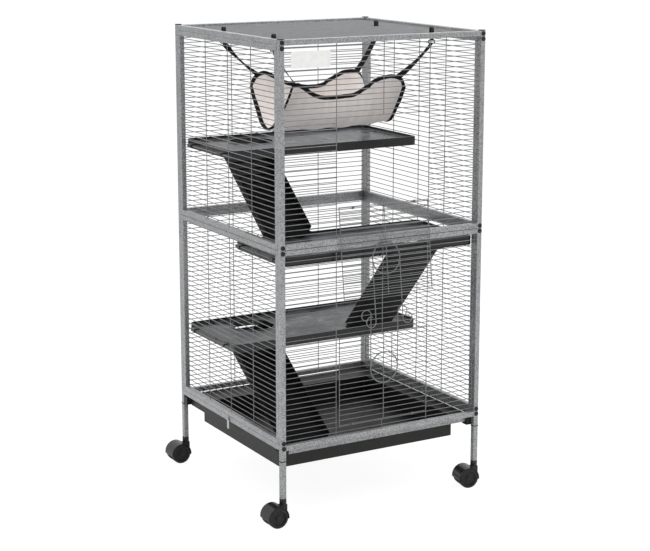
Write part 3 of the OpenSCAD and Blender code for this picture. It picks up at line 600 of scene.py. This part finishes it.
@dataclass
class TubeFrame(SubAssembly):
    """Square tubes, their black rings, caps and bolt caps, and a painted shadow line where the storeys meet.

    Each row of shadow_line_walls is the end of a node's name, the axis that its wall faces along and the way.
    """

    storeys: tuple[str, ...] = ("lower", "upper")
    sides: tuple[str, ...] = ("left", "right")
    walls: tuple[str, ...] = ("front", "back")
    shadow_line_h: float = 0.0014
    shadow_line_out: float = 0.00012
    shadow_line_in: float = 0.0005
    shadow_line_walls: tuple[tuple[str, Axis, int], ...] = (
        ("front_rails", Axis.Y, -1), ("back_rails", Axis.Y, 1), ("left_frame", Axis.X, -1),
        ("right_frame", Axis.X, 1))

    def build(self) -> None:
        """Dresses every tube and its trim, and draws the painted shadow lines at the seams."""
        for storey in self.storeys:
            self.dress(FRAME_PAINT, f"{storey}_posts")
            self.dress(FRAME_PAINT, *(f"{storey}_{wall}_rails" for wall in self.walls))
            self.dress(FRAME_PAINT, *(f"{storey}_{side}_frame" for side in self.sides))
        self.dress(FRAME_PAINT, "legs", "base_side_rails", "top_side_rails", "runner_rails")
        self.dress(TRIM_PLASTIC, "leg_rings", "post_caps", "bolt_caps", "runner_brackets")
        self.paint_seam_shadows()

    def paint_seam_shadows(self) -> None:
        """Lays a thin dark line of painted shadow where the rounded rails of the two storeys meet, on every
        wall.
        """
        shape = bmesh.new()
        half, out = self.shadow_line_h / 2, self.shadow_line_out
        section = ((0.0, -half), (out, -half / 2), (out, half / 2), (0.0, half))
        for kind, outward, way in self.shadow_line_walls:
            low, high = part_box(f"lower_{kind}")
            across = outward.value
            along = 1 - across
            face = (low if way < 0 else high)[across]
            rows = []
            for end in (low[along] + self.shadow_line_in, high[along] - self.shadow_line_in):
                row = []
                for depth, rise in section:
                    at = Vector((0.0, 0.0, high.z + rise))
                    at[across], at[along] = face + way * depth, end
                    row.append(shape.verts.new(at))
                rows.append(row)
            join_rings(shape, *rows)
            shape.faces.new(rows[0])
            shape.faces.new(rows[1][::-1])
        mesh = skin_mesh("storey_seam_shadows", shape)
        mesh_piece("storey_seam_shadows", mesh, SEAM_SHADE, "frame_steel", smooth=False)


@dataclass
class WirePanels(SubAssembly):
    """Mesh of every wall and of the top."""

    storeys: tuple[str, ...] = ("lower", "upper")
    walls: tuple[str, ...] = ("front", "back", "left", "right")

    def build(self) -> None:
        """Dresses the panels."""
        self.dress(WIRE_COAT, *(f"{storey}_{wall}_mesh" for storey in self.storeys for wall in self.walls))
        self.dress(WIRE_COAT, "top_mesh")


@dataclass
class Doors(SubAssembly):
    """Fold-down doors with their rings and latches."""

    names: tuple[str, ...] = ("upper", "lower")

    def build(self) -> None:
        """Dresses the doors."""
        for name in self.names:
            self.dress(WIRE_COAT, f"{name}_door", f"{name}_door_rings", f"{name}_latch")


class Wall(Enum):
    """Wall that a shelf lies along, as the sign of Y."""

    FRONT = -1
    BACK = 1


@dataclass
class ShelfFloor:
    """Raised floor of one shelf, with a cove along its rim and a lined climbing hole.

    Each row of collar_section goes out from the hole and up from the floor, in shares of the collar.
    """

    level: str
    wall: Wall
    recess: float = 0.009
    rim: float = 0.0031
    rim_top: float = 0.0012
    hooks: float = 0.0153
    corner: float = 0.009
    least_corner: float = 0.001
    cove: float = 0.004
    hole_r: float = 0.0556
    hole_end: float = 0.141
    hole_wall: float = 0.085
    collar: float = 0.003
    collar_section: tuple[tuple[float, float], ...] = (
        (2.0, 0.0), (1.6, 0.2), (1.3, 0.8), (0.9, 1.0), (0.3, 1.0), (0.0, 0.8))
    shelf_h: float = 0.022
    gap: float = 0.0002
    corner_steps: int = 8
    cove_steps: int = 5
    hole_steps: int = 72
    sharp: float = 40.0

    def loop(self, shape: bmesh.types.BMesh, inset: float, z: float) -> list[bmesh.types.BMVert]:
        """Adds a ring of points round the pan.

        Args:
            shape: Mesh to add to.
            inset: Distance of the ring from the pan's inner wall.
            z: Its height.

        Returns:
            The ring's points.
        """
        low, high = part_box(f"{self.level}_shelf")
        edge = self.rim + inset
        x0, x1 = low.x + self.hooks + edge, high.x - self.hooks - edge
        y0, y1 = low.y + edge, high.y - edge
        r = max(self.corner - inset, self.least_corner)
        corners = ((x1 - r, y1 - r, 0), (x0 + r, y1 - r, 90), (x0 + r, y0 + r, 180), (x1 - r, y0 + r, 270))
        turns = [(x, y, math.radians(start + 90 * k / self.corner_steps)) for x, y, start in corners
                 for k in range(self.corner_steps + 1)]
        return [shape.verts.new((x + r * math.cos(a), y + r * math.sin(a), z)) for x, y, a in turns]

    def ring(self, shape: bmesh.types.BMesh, radius: float, z: float) -> list[bmesh.types.BMVert]:
        """Adds a ring of points round the hole.

        Args:
            shape: Mesh to add to.
            radius: The ring's radius.
            z: Its height.

        Returns:
            The ring's points.
        """
        low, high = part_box(f"{self.level}_shelf")
        side = -self.wall.value
        x = side * (high.x - self.hooks - self.hole_end)
        y = high.y - self.hole_wall if self.wall is Wall.BACK else low.y + self.hole_wall
        return [shape.verts.new((x + radius * math.cos(a), y + radius * math.sin(a), z))
                for a in (math.tau * k / self.hole_steps for k in range(self.hole_steps))]

    def build(self) -> None:
        """Builds the floor from its rings outside and inside."""
        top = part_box(f"{self.level}_shelf")[1].z
        floor = top - self.recess
        shape = bmesh.new()
        outer = [self.loop(shape, 0.0, top - self.rim_top)]
        for k in range(self.cove_steps + 1):
            turn = math.pi / 2 * k / self.cove_steps
            inset, rise = self.cove * (1 - math.cos(turn)), self.cove * (1 - math.sin(turn))
            outer.append(self.loop(shape, inset, floor + rise))
        inner = [self.ring(shape, self.hole_r + reach * self.collar, floor + rise * self.collar)
                 for reach, rise in self.collar_section]
        inner.append(self.ring(shape, self.hole_r, top - self.shelf_h + self.gap))
        for rings in (outer, inner):
            for a, b in zip(rings, rings[1:]):
                join_rings(shape, a, b)
        edges = [shape.edges.get((ring[k], ring[(k + 1) % len(ring)])) for ring in (outer[-1], inner[0])
                 for k in range(len(ring))]
        bmesh.ops.triangle_fill(shape, use_beauty=True, edges=edges)
        name = f"{self.level}_shelf_floor"
        crease(mesh_piece(name, skin_mesh(name, shape), SHELF_PLASTIC, "shelf_plastic"), self.sharp)


@dataclass
class Shelves(SubAssembly):
    """Moulded shelves and the ramps between them."""

    floors: tuple[ShelfFloor, ...] = (
        ShelfFloor("lower", Wall.BACK), ShelfFloor("middle", Wall.FRONT), ShelfFloor("upper", Wall.BACK))

    def build(self) -> None:
        """Builds the floors, and dresses shelves and ramps."""
        for floor in self.floors:
            floor.build()
            self.dress(SHELF_PLASTIC, f"{floor.level}_shelf")
            self.dress(RAMP_PLASTIC, f"{floor.level}_ramp")


@dataclass
class WasteTray(SubAssembly):
    """Pull-out tray with its stud, and the turn-button that holds it."""

    def build(self) -> None:
        """Dresses the tray."""
        self.dress(TRAY_PLASTIC, "tray", "tray_stud")
        self.dress(ZINC_PLATE, "tray_button", "button_screw")


@dataclass
class Casters(SubAssembly):
    """Hooded twin-wheel casters."""

    corners: tuple[str, ...] = ("front_left", "front_right", "back_left", "back_right")

    def build(self) -> None:
        """Dresses hoods, wheels and stems."""
        for corner in self.corners:
            self.dress(HOOD_PLASTIC, f"{corner}_hood")
            self.dress(TREAD_RUBBER, f"{corner}_wheels")
        self.dress(ZINC_PLATE, "caster_stems")


@dataclass
class Hammock(SubAssembly):
    """Cloth sling with a bound edge, hung by four straps from clips on the top mesh.

    Each row of waves is a size, a count along the sling, a lean across it and a start. The rims are shares
    along the sling with their heights, and rim_in is where the binding looks for the cloth beside it.
    """

    length: float = 0.340
    flat_width: float = 0.300
    width: float = 0.200
    waist: float = 0.86
    cut: float = 0.012
    end_lift: float = 0.003
    pinch: float = 0.95
    cloth: float = 0.0026
    bottom: float = 0.002
    pleat: float = 0.0045
    gather: float = 0.0022
    sink: float = 0.0015
    waves: tuple[tuple[float, float, float, float], ...] = (
        (1.0, 3.0, 0.4, 0.0), (0.45, 7.3, 2.2, 0.0), (0.25, 13.1, -3.1, 0.7))
    binding: float = 0.0105
    binding_t: float = 0.0056
    binding_out: float = 0.25
    rim_in: tuple[float, float] = (0.015, 0.04)
    rim_step: float = 0.003
    cloth_steps: tuple[int, int] = (112, 80)
    rim_steps: tuple[int, int] = (520, 12)
    front_rim: tuple[tuple[float, float], ...] = (
        (0.0, 0.098), (0.02, 0.115), (0.07, 0.121), (0.13, 0.113), (0.20, 0.098),
        (0.28, 0.088), (0.42, 0.085), (0.56, 0.089), (0.68, 0.105), (0.78, 0.121),
        (0.87, 0.128), (0.94, 0.125), (0.98, 0.115), (1.0, 0.098))
    back_rim: tuple[tuple[float, float], ...] = (
        (0.0, 0.098), (0.02, 0.116), (0.06, 0.128), (0.12, 0.132), (0.20, 0.120),
        (0.30, 0.105), (0.45, 0.094), (0.58, 0.095), (0.68, 0.106), (0.78, 0.120),
        (0.86, 0.125), (0.94, 0.122), (0.98, 0.114), (1.0, 0.098))
    low: Vector = field(init=False)
    high: Vector = field(init=False)

    def __post_init__(self) -> None:
        """Takes the hammock's place from the model."""
        self.low, self.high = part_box("hammock")

    @staticmethod
    def along(points: tuple[tuple[float, float], ...], u: float) -> float:
        """Reads a smooth curve through points.

        Args:
            points: Shares along the curve with their values.
            u: Share along it.

        Returns:
            The value there.
        """
        last = len(points) - 2
        k = next((i for i in range(last + 1) if u <= points[i + 1][0]), last)
        (u0, h0), (u1, h1) = points[k], points[k + 1]
        before, after = points[max(k - 1, 0)], points[min(k + 2, last + 1)]
        step = u1 - u0
        rise0 = (h1 - before[1]) / (u1 - before[0]) * step
        rise1 = (after[1] - h0) / (after[0] - u0) * step
        t = min(max((u - u0) / step, 0.0), 1.0)
        return (h0 * (1 + 2 * t) * (1 - t) ** 2 + rise0 * t * (1 - t) ** 2
                + h1 * t * t * (3 - 2 * t) + rise1 * t * t * (t - 1))

    def point(self, u: float, v: float) -> Vector:
        """Place on the sling's middle surface.

        Args:
            u: Share along the sling, from 0 to 1.
            v: Share across it, from -1 at the front edge to 1 at the back.

        Returns:
            The place, in metres.
        """
        u = min(max(u, 0.0), 1.0)
        v = min(max(v, -1.0), 1.0)
        end, across = abs(2 * u - 1), abs(v)
        rim = self.along(self.back_rim if v > 0 else self.front_rim, u)
        half = self.width / 2 * (self.waist + (1 - self.waist) * end ** 2.5)
        loose = across ** 0.7 * math.sin(math.pi * u) ** 0.6
        wave = sum(size * math.sin(math.tau * count * u + lean * v + start)
                   for size, count, lean, start in self.waves)
        gather = self.gather * end ** 4 * math.sin(11.0 * v + 1.3) * (1 - across ** 3)
        sink = self.sink * math.sin(math.tau * 4.4 * u + 1.0) * (1 - across)
        x = self.low.x + self.length * u - self.cut * (2 * u - 1) * across
        pinch = self.pinch * end ** 2
        spread = math.sin(math.pi / 2 * across ** 0.9) * (1 - pinch) + across ** 0.96 * pinch
        y = math.copysign(spread, v) * half + self.pleat * loose * wave
        z = rim * across ** (1.9 - 0.5 * pinch) + self.end_lift * end ** 3 * (1 - across) + gather + sink
        return Vector((x, (self.low.y + self.high.y) / 2 + y, self.low.z + self.bottom + z))

    def edge(self, t: float, end_in: float = 0.0, side_in: float = 0.0) -> Vector:
        """Place on the sling's rim, or a little way in from it.

        Args:
            t: Share of the way round the rim.
            end_in: How far in it lies at the sling's ends, as a share of the way along.
            side_in: How far in it lies at the sides, where the middle is 1 away.

        Returns:
            The place, in metres.
        """
        side, share = divmod((t % 1.0) * 4, 1.0)
        places = ((share, side_in - 1), (1 - end_in, 2 * share - 1), (1 - share, 1 - side_in),
                  (end_in, 1 - 2 * share))
        return self.point(*places[int(side)])

    def build(self) -> None:
        """Builds the cloth and its binding."""
        sling = grid_mesh("hammock_cloth", *self.cloth_steps, lambda u, v: self.point(u, 2 * v - 1))
        cloth = mesh_piece("hammock_cloth", sling, HAMMOCK_FLEECE, "hammock_cloth")
        thick = cloth.modifiers.new("thickness", "SOLIDIFY")
        thick.thickness = self.cloth
        thick.offset = 0.0
        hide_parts("hammock")
        tube = grid_mesh("hammock_binding", *self.rim_steps, self.rim, round_trip=True)
        binding = mesh_piece("hammock_binding", tube, HAMMOCK_TAPE, "webbing")

    def rim(self, t: float, turn: float) -> Vector:
        """Place on the skin of the binding, an oval tube along the rim.

        Args:
            t: Share of the way round the rim.
            turn: Share of the way round the tube.

        Returns:
            The place, in metres.
        """
        here = self.edge(t)
        ahead = (self.edge(t + self.rim_step) - self.edge(t - self.rim_step)).normalized()
        inward = self.edge(t, *self.rim_in) - here
        out = (inward - ahead * inward.dot(ahead)).normalized()
        across = ahead.cross(out)
        angle = turn * math.tau
        reach = self.binding * (self.binding_out + math.cos(angle) / 2)
        return here + out * reach + across * (math.sin(angle) * self.binding_t / 2)


@dataclass
class Straps(SubAssembly):
    """Twisted webbing straps of the hammock and the moulded hooks that hold them.

    Heights of the hook are measured from the wire. Each row of body is a height, half a width and half a
    depth. turns gives each strap's angle at its top, middle and foot, by end and side.
    """

    hammock: Hammock
    width: float = 0.0140
    thickness: float = 0.0017
    flatness: float = 0.4
    waist: float = 0.12
    sag: float = 0.004
    hem: float = 0.2
    hem_extra: float = 1.1
    hem_edge: float = 90.0
    hook_in: tuple[float, float] = (0.0045, 0.0080)
    hook_reach: float = 0.0044
    wire_drop: float = 0.0164
    loop_r: float = 0.0040
    loop_rise: float = 0.0100
    band: tuple[float, float] = (0.0042, 0.0015)
    tip: tuple[float, float] = (-0.0045, -0.0030)
    tip_share: float = 0.7
    tail: float = -0.0020
    squareness: float = 0.5
    body: tuple[tuple[float, float, float], ...] = (
        (0.0010, 0.0038, 0.0016), (-0.0040, 0.0050, 0.0022), (-0.0085, 0.0056, 0.0024),
        (-0.0130, 0.0046, 0.0022), (-0.0168, 0.0060, 0.0018))
    body_lean: float = 0.015
    bar: float = 0.0013
    slot_w: float = 0.0088
    slot_z: tuple[float, float] = (-0.0170, -0.0245)
    slot_r: float = 0.0022
    strap_steps: int = 44
    bend_steps: int = 12
    slot_steps: int = 3
    ring_steps: int = 16
    sharp: float = 50.0
    ear_in: float = 0.055
    turns: dict[tuple[int, int], tuple[float, float, float]] = field(default_factory=lambda: {
        (-1, -1): (100.0, 130.0, 160.0), (1, -1): (5.0, 22.0, 80.0),
        (-1, 1): (88.0, 20.0, 50.0), (1, 1): (0.0, 20.0, 45.0)})

    def wire(self, end: int, side: int) -> Vector:
        """Middle of the wire that a hook hangs on.

        Args:
            end: Left end of the hammock as -1, right end as 1.
            side: Front as -1, back as 1.

        Returns:
            The place, in metres.
        """
        low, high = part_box("hammock_clips")
        x = low.x + self.hook_in[0] if end < 0 else high.x - self.hook_in[1]
        y = low.y + self.hook_reach if side < 0 else high.y - self.hook_reach
        return Vector((x, y, high.z - self.wire_drop))

    @staticmethod
    def loft(shape: bmesh.types.BMesh, rings: list[list[Vector]], joined: bool = False) -> None:
        """Adds a skin over rings of points.

        Args:
            shape: Mesh to add to.
            rings: Rings of as many points each.
            joined: Whether the last ring joins the first, instead of a face that closes each end.
        """
        loops = [[shape.verts.new(point) for point in ring] for ring in rings]
        for a, b in zip(loops, loops[1:] + loops[:1] if joined else loops[1:]):
            join_rings(shape, a, b)
        if not joined:
            shape.faces.new(loops[0][::-1])
            shape.faces.new(loops[-1])

    def oval(self, at: Vector, across: Vector, out: Vector, half: tuple[float, float],
             power: float = 1.0) -> list[Vector]:
        """Makes a ring of points round a place.

        Args:
            at: The place.
            across: Direction of the ring's first axis.
            out: Direction of its second axis.
            half: Half of its size along each.
            power: 1 for an oval, less for a squarer ring.

        Returns:
            The points.
        """
        points = []
        for k in range(self.ring_steps):
            turn = math.tau * (k + 0.5) / self.ring_steps
            x, y = (math.copysign(abs(part) ** power, part) for part in (math.cos(turn), math.sin(turn)))
            points.append(at + across * x * half[0] + out * y * half[1])
        return points

    def ribbon(self, shape: bmesh.types.BMesh, end: int, side: int) -> None:
        """Adds a strap, hemmed at its top, that twists on its way down to the hammock.

        Args:
            shape: Mesh to add to.
            end: End of the hammock, as in wire.
            side: Side of the hammock, as in wire.
        """
        top = self.wire(end, side) + Z * self.slot_z[1]
        foot = self.hammock.point(self.ear_in if end < 0 else 1 - self.ear_in, side)
        down = (foot - top).normalized()
        level = down.cross(Z).normalized()
        up = level.cross(down)
        twist = tuple(zip((0.0, 0.5, 1.0), self.turns[end, side]))
        rings = []
        for k in range(self.strap_steps + 1):
            share = k / self.strap_steps
            angle = math.radians(Hammock.along(twist, share))
            at = top.lerp(foot, share) - up * (self.sag * 4 * share * (1 - share))
            hemmed = 1 + self.hem_extra / (1 + math.exp(self.hem_edge * (share - self.hem)))
            drawn = 1 - self.waist * math.sin(math.pi * share)
            across = level * math.cos(angle) + up * math.sin(angle)
            half = (self.width / 2 * drawn, self.thickness / 2 * hemmed)
            rings.append(self.oval(at, across, across.cross(down), half, self.flatness))
        self.loft(shape, rings)

    def hook(self, shape: bmesh.types.BMesh, end: int, side: int) -> None:
        """Adds a hook: a band over the wire, a waisted body and a slot for the strap.

        Args:
            shape: Mesh to add to.
            end: End of the hammock, as in wire.
            side: Side of the hammock, as in wire.
        """
        wire = self.wire(end, side)
        self.loft(shape, self.bend(wire))
        far = wire - Y * self.loop_r
        rings = []
        for rise, wide, deep in self.body:
            share = min(max(-rise / self.body_lean, 0.0), 1.0)
            rings.append(self.oval(far.lerp(wire, share) + Z * rise, X, Y, (wide, deep), self.squareness))
        self.loft(shape, rings)
        self.loft(shape, self.slot(wire), joined=True)

    def bend(self, wire: Vector) -> list[list[Vector]]:
        """Makes the rings of the band that goes over the wire, from its tip at the back to its tail in front.

        Args:
            wire: Middle of the wire.

        Returns:
            The rings.
        """
        near, far, top = wire + Y * self.loop_r, wire - Y * self.loop_r, wire + Z * self.loop_rise
        small = (self.band[0] * self.tip_share, self.band[1] * self.tip_share)
        rings = [self.oval(near + Z * self.tip[0], X, Y, small, self.squareness),
                 self.oval(near + Z * self.tip[1], X, Y, self.band, self.squareness)]
        for k in range(self.bend_steps + 1):
            turn = math.pi * k / self.bend_steps
            out = Y * math.cos(turn) + Z * math.sin(turn)
            rings.append(self.oval(top + out * self.loop_r, X, out, self.band, self.squareness))
        return [*rings, self.oval(far + Z * self.tail, X, -Y, self.band, self.squareness)]

    def slot(self, wire: Vector) -> list[list[Vector]]:
        """Makes the rings of the round bar that frames the slot.

        Args:
            wire: Middle of the wire.

        Returns:
            The rings.
        """
        high, low = self.slot_z[0] - self.slot_r, self.slot_z[1] + self.slot_r
        rings = []
        for way, rise, start in ((1, high, 0), (-1, high, 90), (-1, low, 180), (1, low, 270)):
            middle = wire + X * way * (self.slot_w - self.slot_r) + Z * rise
            for step in range(self.slot_steps + 1):
                turn = math.radians(start + 90 * step / self.slot_steps)
                out = X * math.cos(turn) + Z * math.sin(turn)
                rings.append(self.oval(middle + out * self.slot_r, Y, out, (self.bar, self.bar)))
        return rings

    def build(self) -> None:
        """Builds the four straps and the four hooks."""
        for kind, node, add, finish, slot in (
                ("twisted", "hammock_straps", self.ribbon, STRAP_TAPE, "webbing"),
                ("moulded", "hammock_clips", self.hook, TRIM_PLASTIC, "black_trim")):
            shape = bmesh.new()
            for end, side in self.turns:
                add(shape, end, side)
            name = f"{kind}_{node}"
            piece = mesh_piece(name, skin_mesh(name, shape), finish, slot)
            crease(piece, self.sharp)
            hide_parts(node)


@dataclass
class BarePlate(SubAssembly):
    """Plain white plate on the upper front mesh.

    left is measured from the middle of the left post's tube, and top from the mesh's upper edge.
    """

    width: float = 0.104
    height: float = 0.038
    thickness: float = 0.0010
    tube: float = 0.013
    left: float = 0.0255
    top: float = 0.015
    gap: float = 0.0002
    radius: float = 0.004
    corner_steps: int = 6
    edge_r: float = 0.0003
    edge_steps: int = 2

    def build(self) -> None:
        """Builds the plate with rounded corners and edges."""
        low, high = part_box("upper_front_mesh")
        x0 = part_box("upper_posts")[0].x + self.tube / 2 + self.left + self.radius
        x1 = x0 + self.width - 2 * self.radius
        z1 = high.z - self.top - self.radius
        z0 = z1 - self.height + 2 * self.radius
        shape = bmesh.new()
        ring = []
        for x, z, start in ((x0, z1, 90), (x0, z0, 180), (x1, z0, 270), (x1, z1, 0)):
            for step in range(self.corner_steps + 1):
                turn = math.radians(start + 90 * step / self.corner_steps)
                at = (x + self.radius * math.cos(turn), low.y - self.gap, z + self.radius * math.sin(turn))
                ring.append(shape.verts.new(at))
        face = shape.faces.new(ring)
        lifted = bmesh.ops.extrude_face_region(shape, geom=[face])
        for vert in (v for v in lifted["geom"] if isinstance(v, bmesh.types.BMVert)):
            vert.co.y -= self.thickness
        plate = mesh_piece("bare_plate", skin_mesh("bare_plate", shape), PLATE_ENAMEL, "wire_steel",
                           smooth=False)
        soft = plate.modifiers.new("edge", "BEVEL")
        soft.width = self.edge_r
        soft.segments = self.edge_steps


@dataclass(frozen=True)
class Lamp:
    """Soft square lamp."""

    name: str
    at: tuple[float, float, float]
    size: float
    watts: float

    def hang(self, aim: Vector) -> None:
        """Hangs the lamp.

        Args:
            aim: Place that it looks at.
        """
        data = bpy.data.lights.new(self.name, "AREA")
        data.size = self.size
        data.energy = self.watts
        lamp = bpy.data.objects.new(self.name, data)
        bpy.context.scene.collection.objects.link(lamp)
        lamp.location = self.at
        lamp.rotation_euler = (aim - Vector(self.at)).to_track_quat("-Z", "Y").to_euler()


@dataclass
class Studio:
    """Pale floor, soft lamps and the camera at the photograph's place."""

    frame_px: tuple[int, int] = (650, 551)
    focal_px: float = 1649.2
    shift_px: float = 30.0
    sensor_mm: float = 36.0
    eye: tuple[float, float, float] = (-2.0446, -3.5300, 1.4494)
    yaw: float = 30.023
    pitch: float = 11.7553
    view_end: float = 100.0
    floor_size: float = 60.0
    floor_grey: float = 0.86
    floor_glow: float = 1.12
    glow_share: float = 0.82
    white: float = 1.0
    fill: float = 0.74
    aim_z: float = 0.55
    lamps: tuple[Lamp, ...] = (
        Lamp("key_lamp", (-3.2, -2.2, 3.6), 2.4, 62.0), Lamp("fill_lamp", (3.4, -1.4, 2.6), 2.6, 50.0),
        Lamp("top_lamp", (0.3, 0.8, 4.2), 3.0, 75.0))

    def build(self) -> None:
        """Builds the studio."""
        self.camera()
        self.floor()
        self.world()
        for lamp in self.lamps:
            lamp.hang(Z * self.aim_z)
        bpy.context.scene.view_settings.view_transform = "Standard"

    def camera(self) -> None:
        """Places the camera."""
        data = bpy.data.cameras.new("camera")
        data.sensor_width = self.sensor_mm
        data.lens = self.focal_px * self.sensor_mm / self.frame_px[0]
        data.shift_y = -self.shift_px / self.frame_px[0]
        data.clip_end = self.view_end
        eye = bpy.data.objects.new("camera", data)
        bpy.context.scene.collection.objects.link(eye)
        eye.location = self.eye
        eye.rotation_euler = (math.radians(90 - self.pitch), 0.0, math.radians(-self.yaw))
        bpy.context.scene.camera = eye

    def floor(self) -> None:
        """Lays a pale floor that shows white and keeps the cage's shadow."""
        half = self.floor_size / 2
        corners = [(-half, -half, 0), (half, -half, 0), (half, half, 0), (-half, half, 0)]
        mesh = bpy.data.meshes.new("floor")
        mesh.from_pydata(corners, [], [(0, 1, 2, 3)])
        floor = bpy.data.objects.new("floor", mesh)
        bpy.context.scene.collection.objects.link(floor)
        material = bpy.data.materials.new("pale_floor")
        tree = Tree(material)
        seen = tree.node("ShaderNodeLightPath", out="Is Camera Ray")
        matt = tree.node("ShaderNodeBsdfDiffuse", {}, {"Color": (*(self.floor_grey,) * 3, 1.0)})
        glow = tree.node("ShaderNodeEmission", {}, {"Color": WHITE, "Strength": self.floor_glow})
        tree.output(tree.node("ShaderNodeMixShader", {}, {0: seen * self.glow_share, 1: matt, 2: glow}))
        mesh.materials.append(material)

    def world(self) -> None:
        """Lights from all sides, and shows white to the camera and in gloss."""
        world = bpy.data.worlds.new("studio")
        bpy.context.scene.world = world
        tree = Tree(world)
        path = tree.node("ShaderNodeLightPath", out="Is Camera Ray")
        gloss = Sock(tree, path.socket.node.outputs["Is Glossy Ray"])
        clear = Sock(tree, path.socket.node.outputs["Is Transmission Ray"])
        shown = (path + gloss + clear).math("MINIMUM", 1.0)
        strength = shown * (self.white - self.fill) + self.fill
        light = tree.node("ShaderNodeBackground", {}, {"Color": WHITE, "Strength": strength})
        tree.output(light, "ShaderNodeOutputWorld")


def main() -> None:
    """Builds the studio and the cage."""
    logging.basicConfig(level=logging.INFO, format="%(name)s: %(message)s")
    Studio().build()
    hammock = Hammock()
    groups = (TubeFrame(), WirePanels(), Doors(), Shelves(), WasteTray(), Casters(), hammock, Straps(hammock),
              BarePlate())
    for group in groups:
        group.build()
        LOG.info("finished %s", type(group).__name__)


if __name__ == "__main__":
    main()
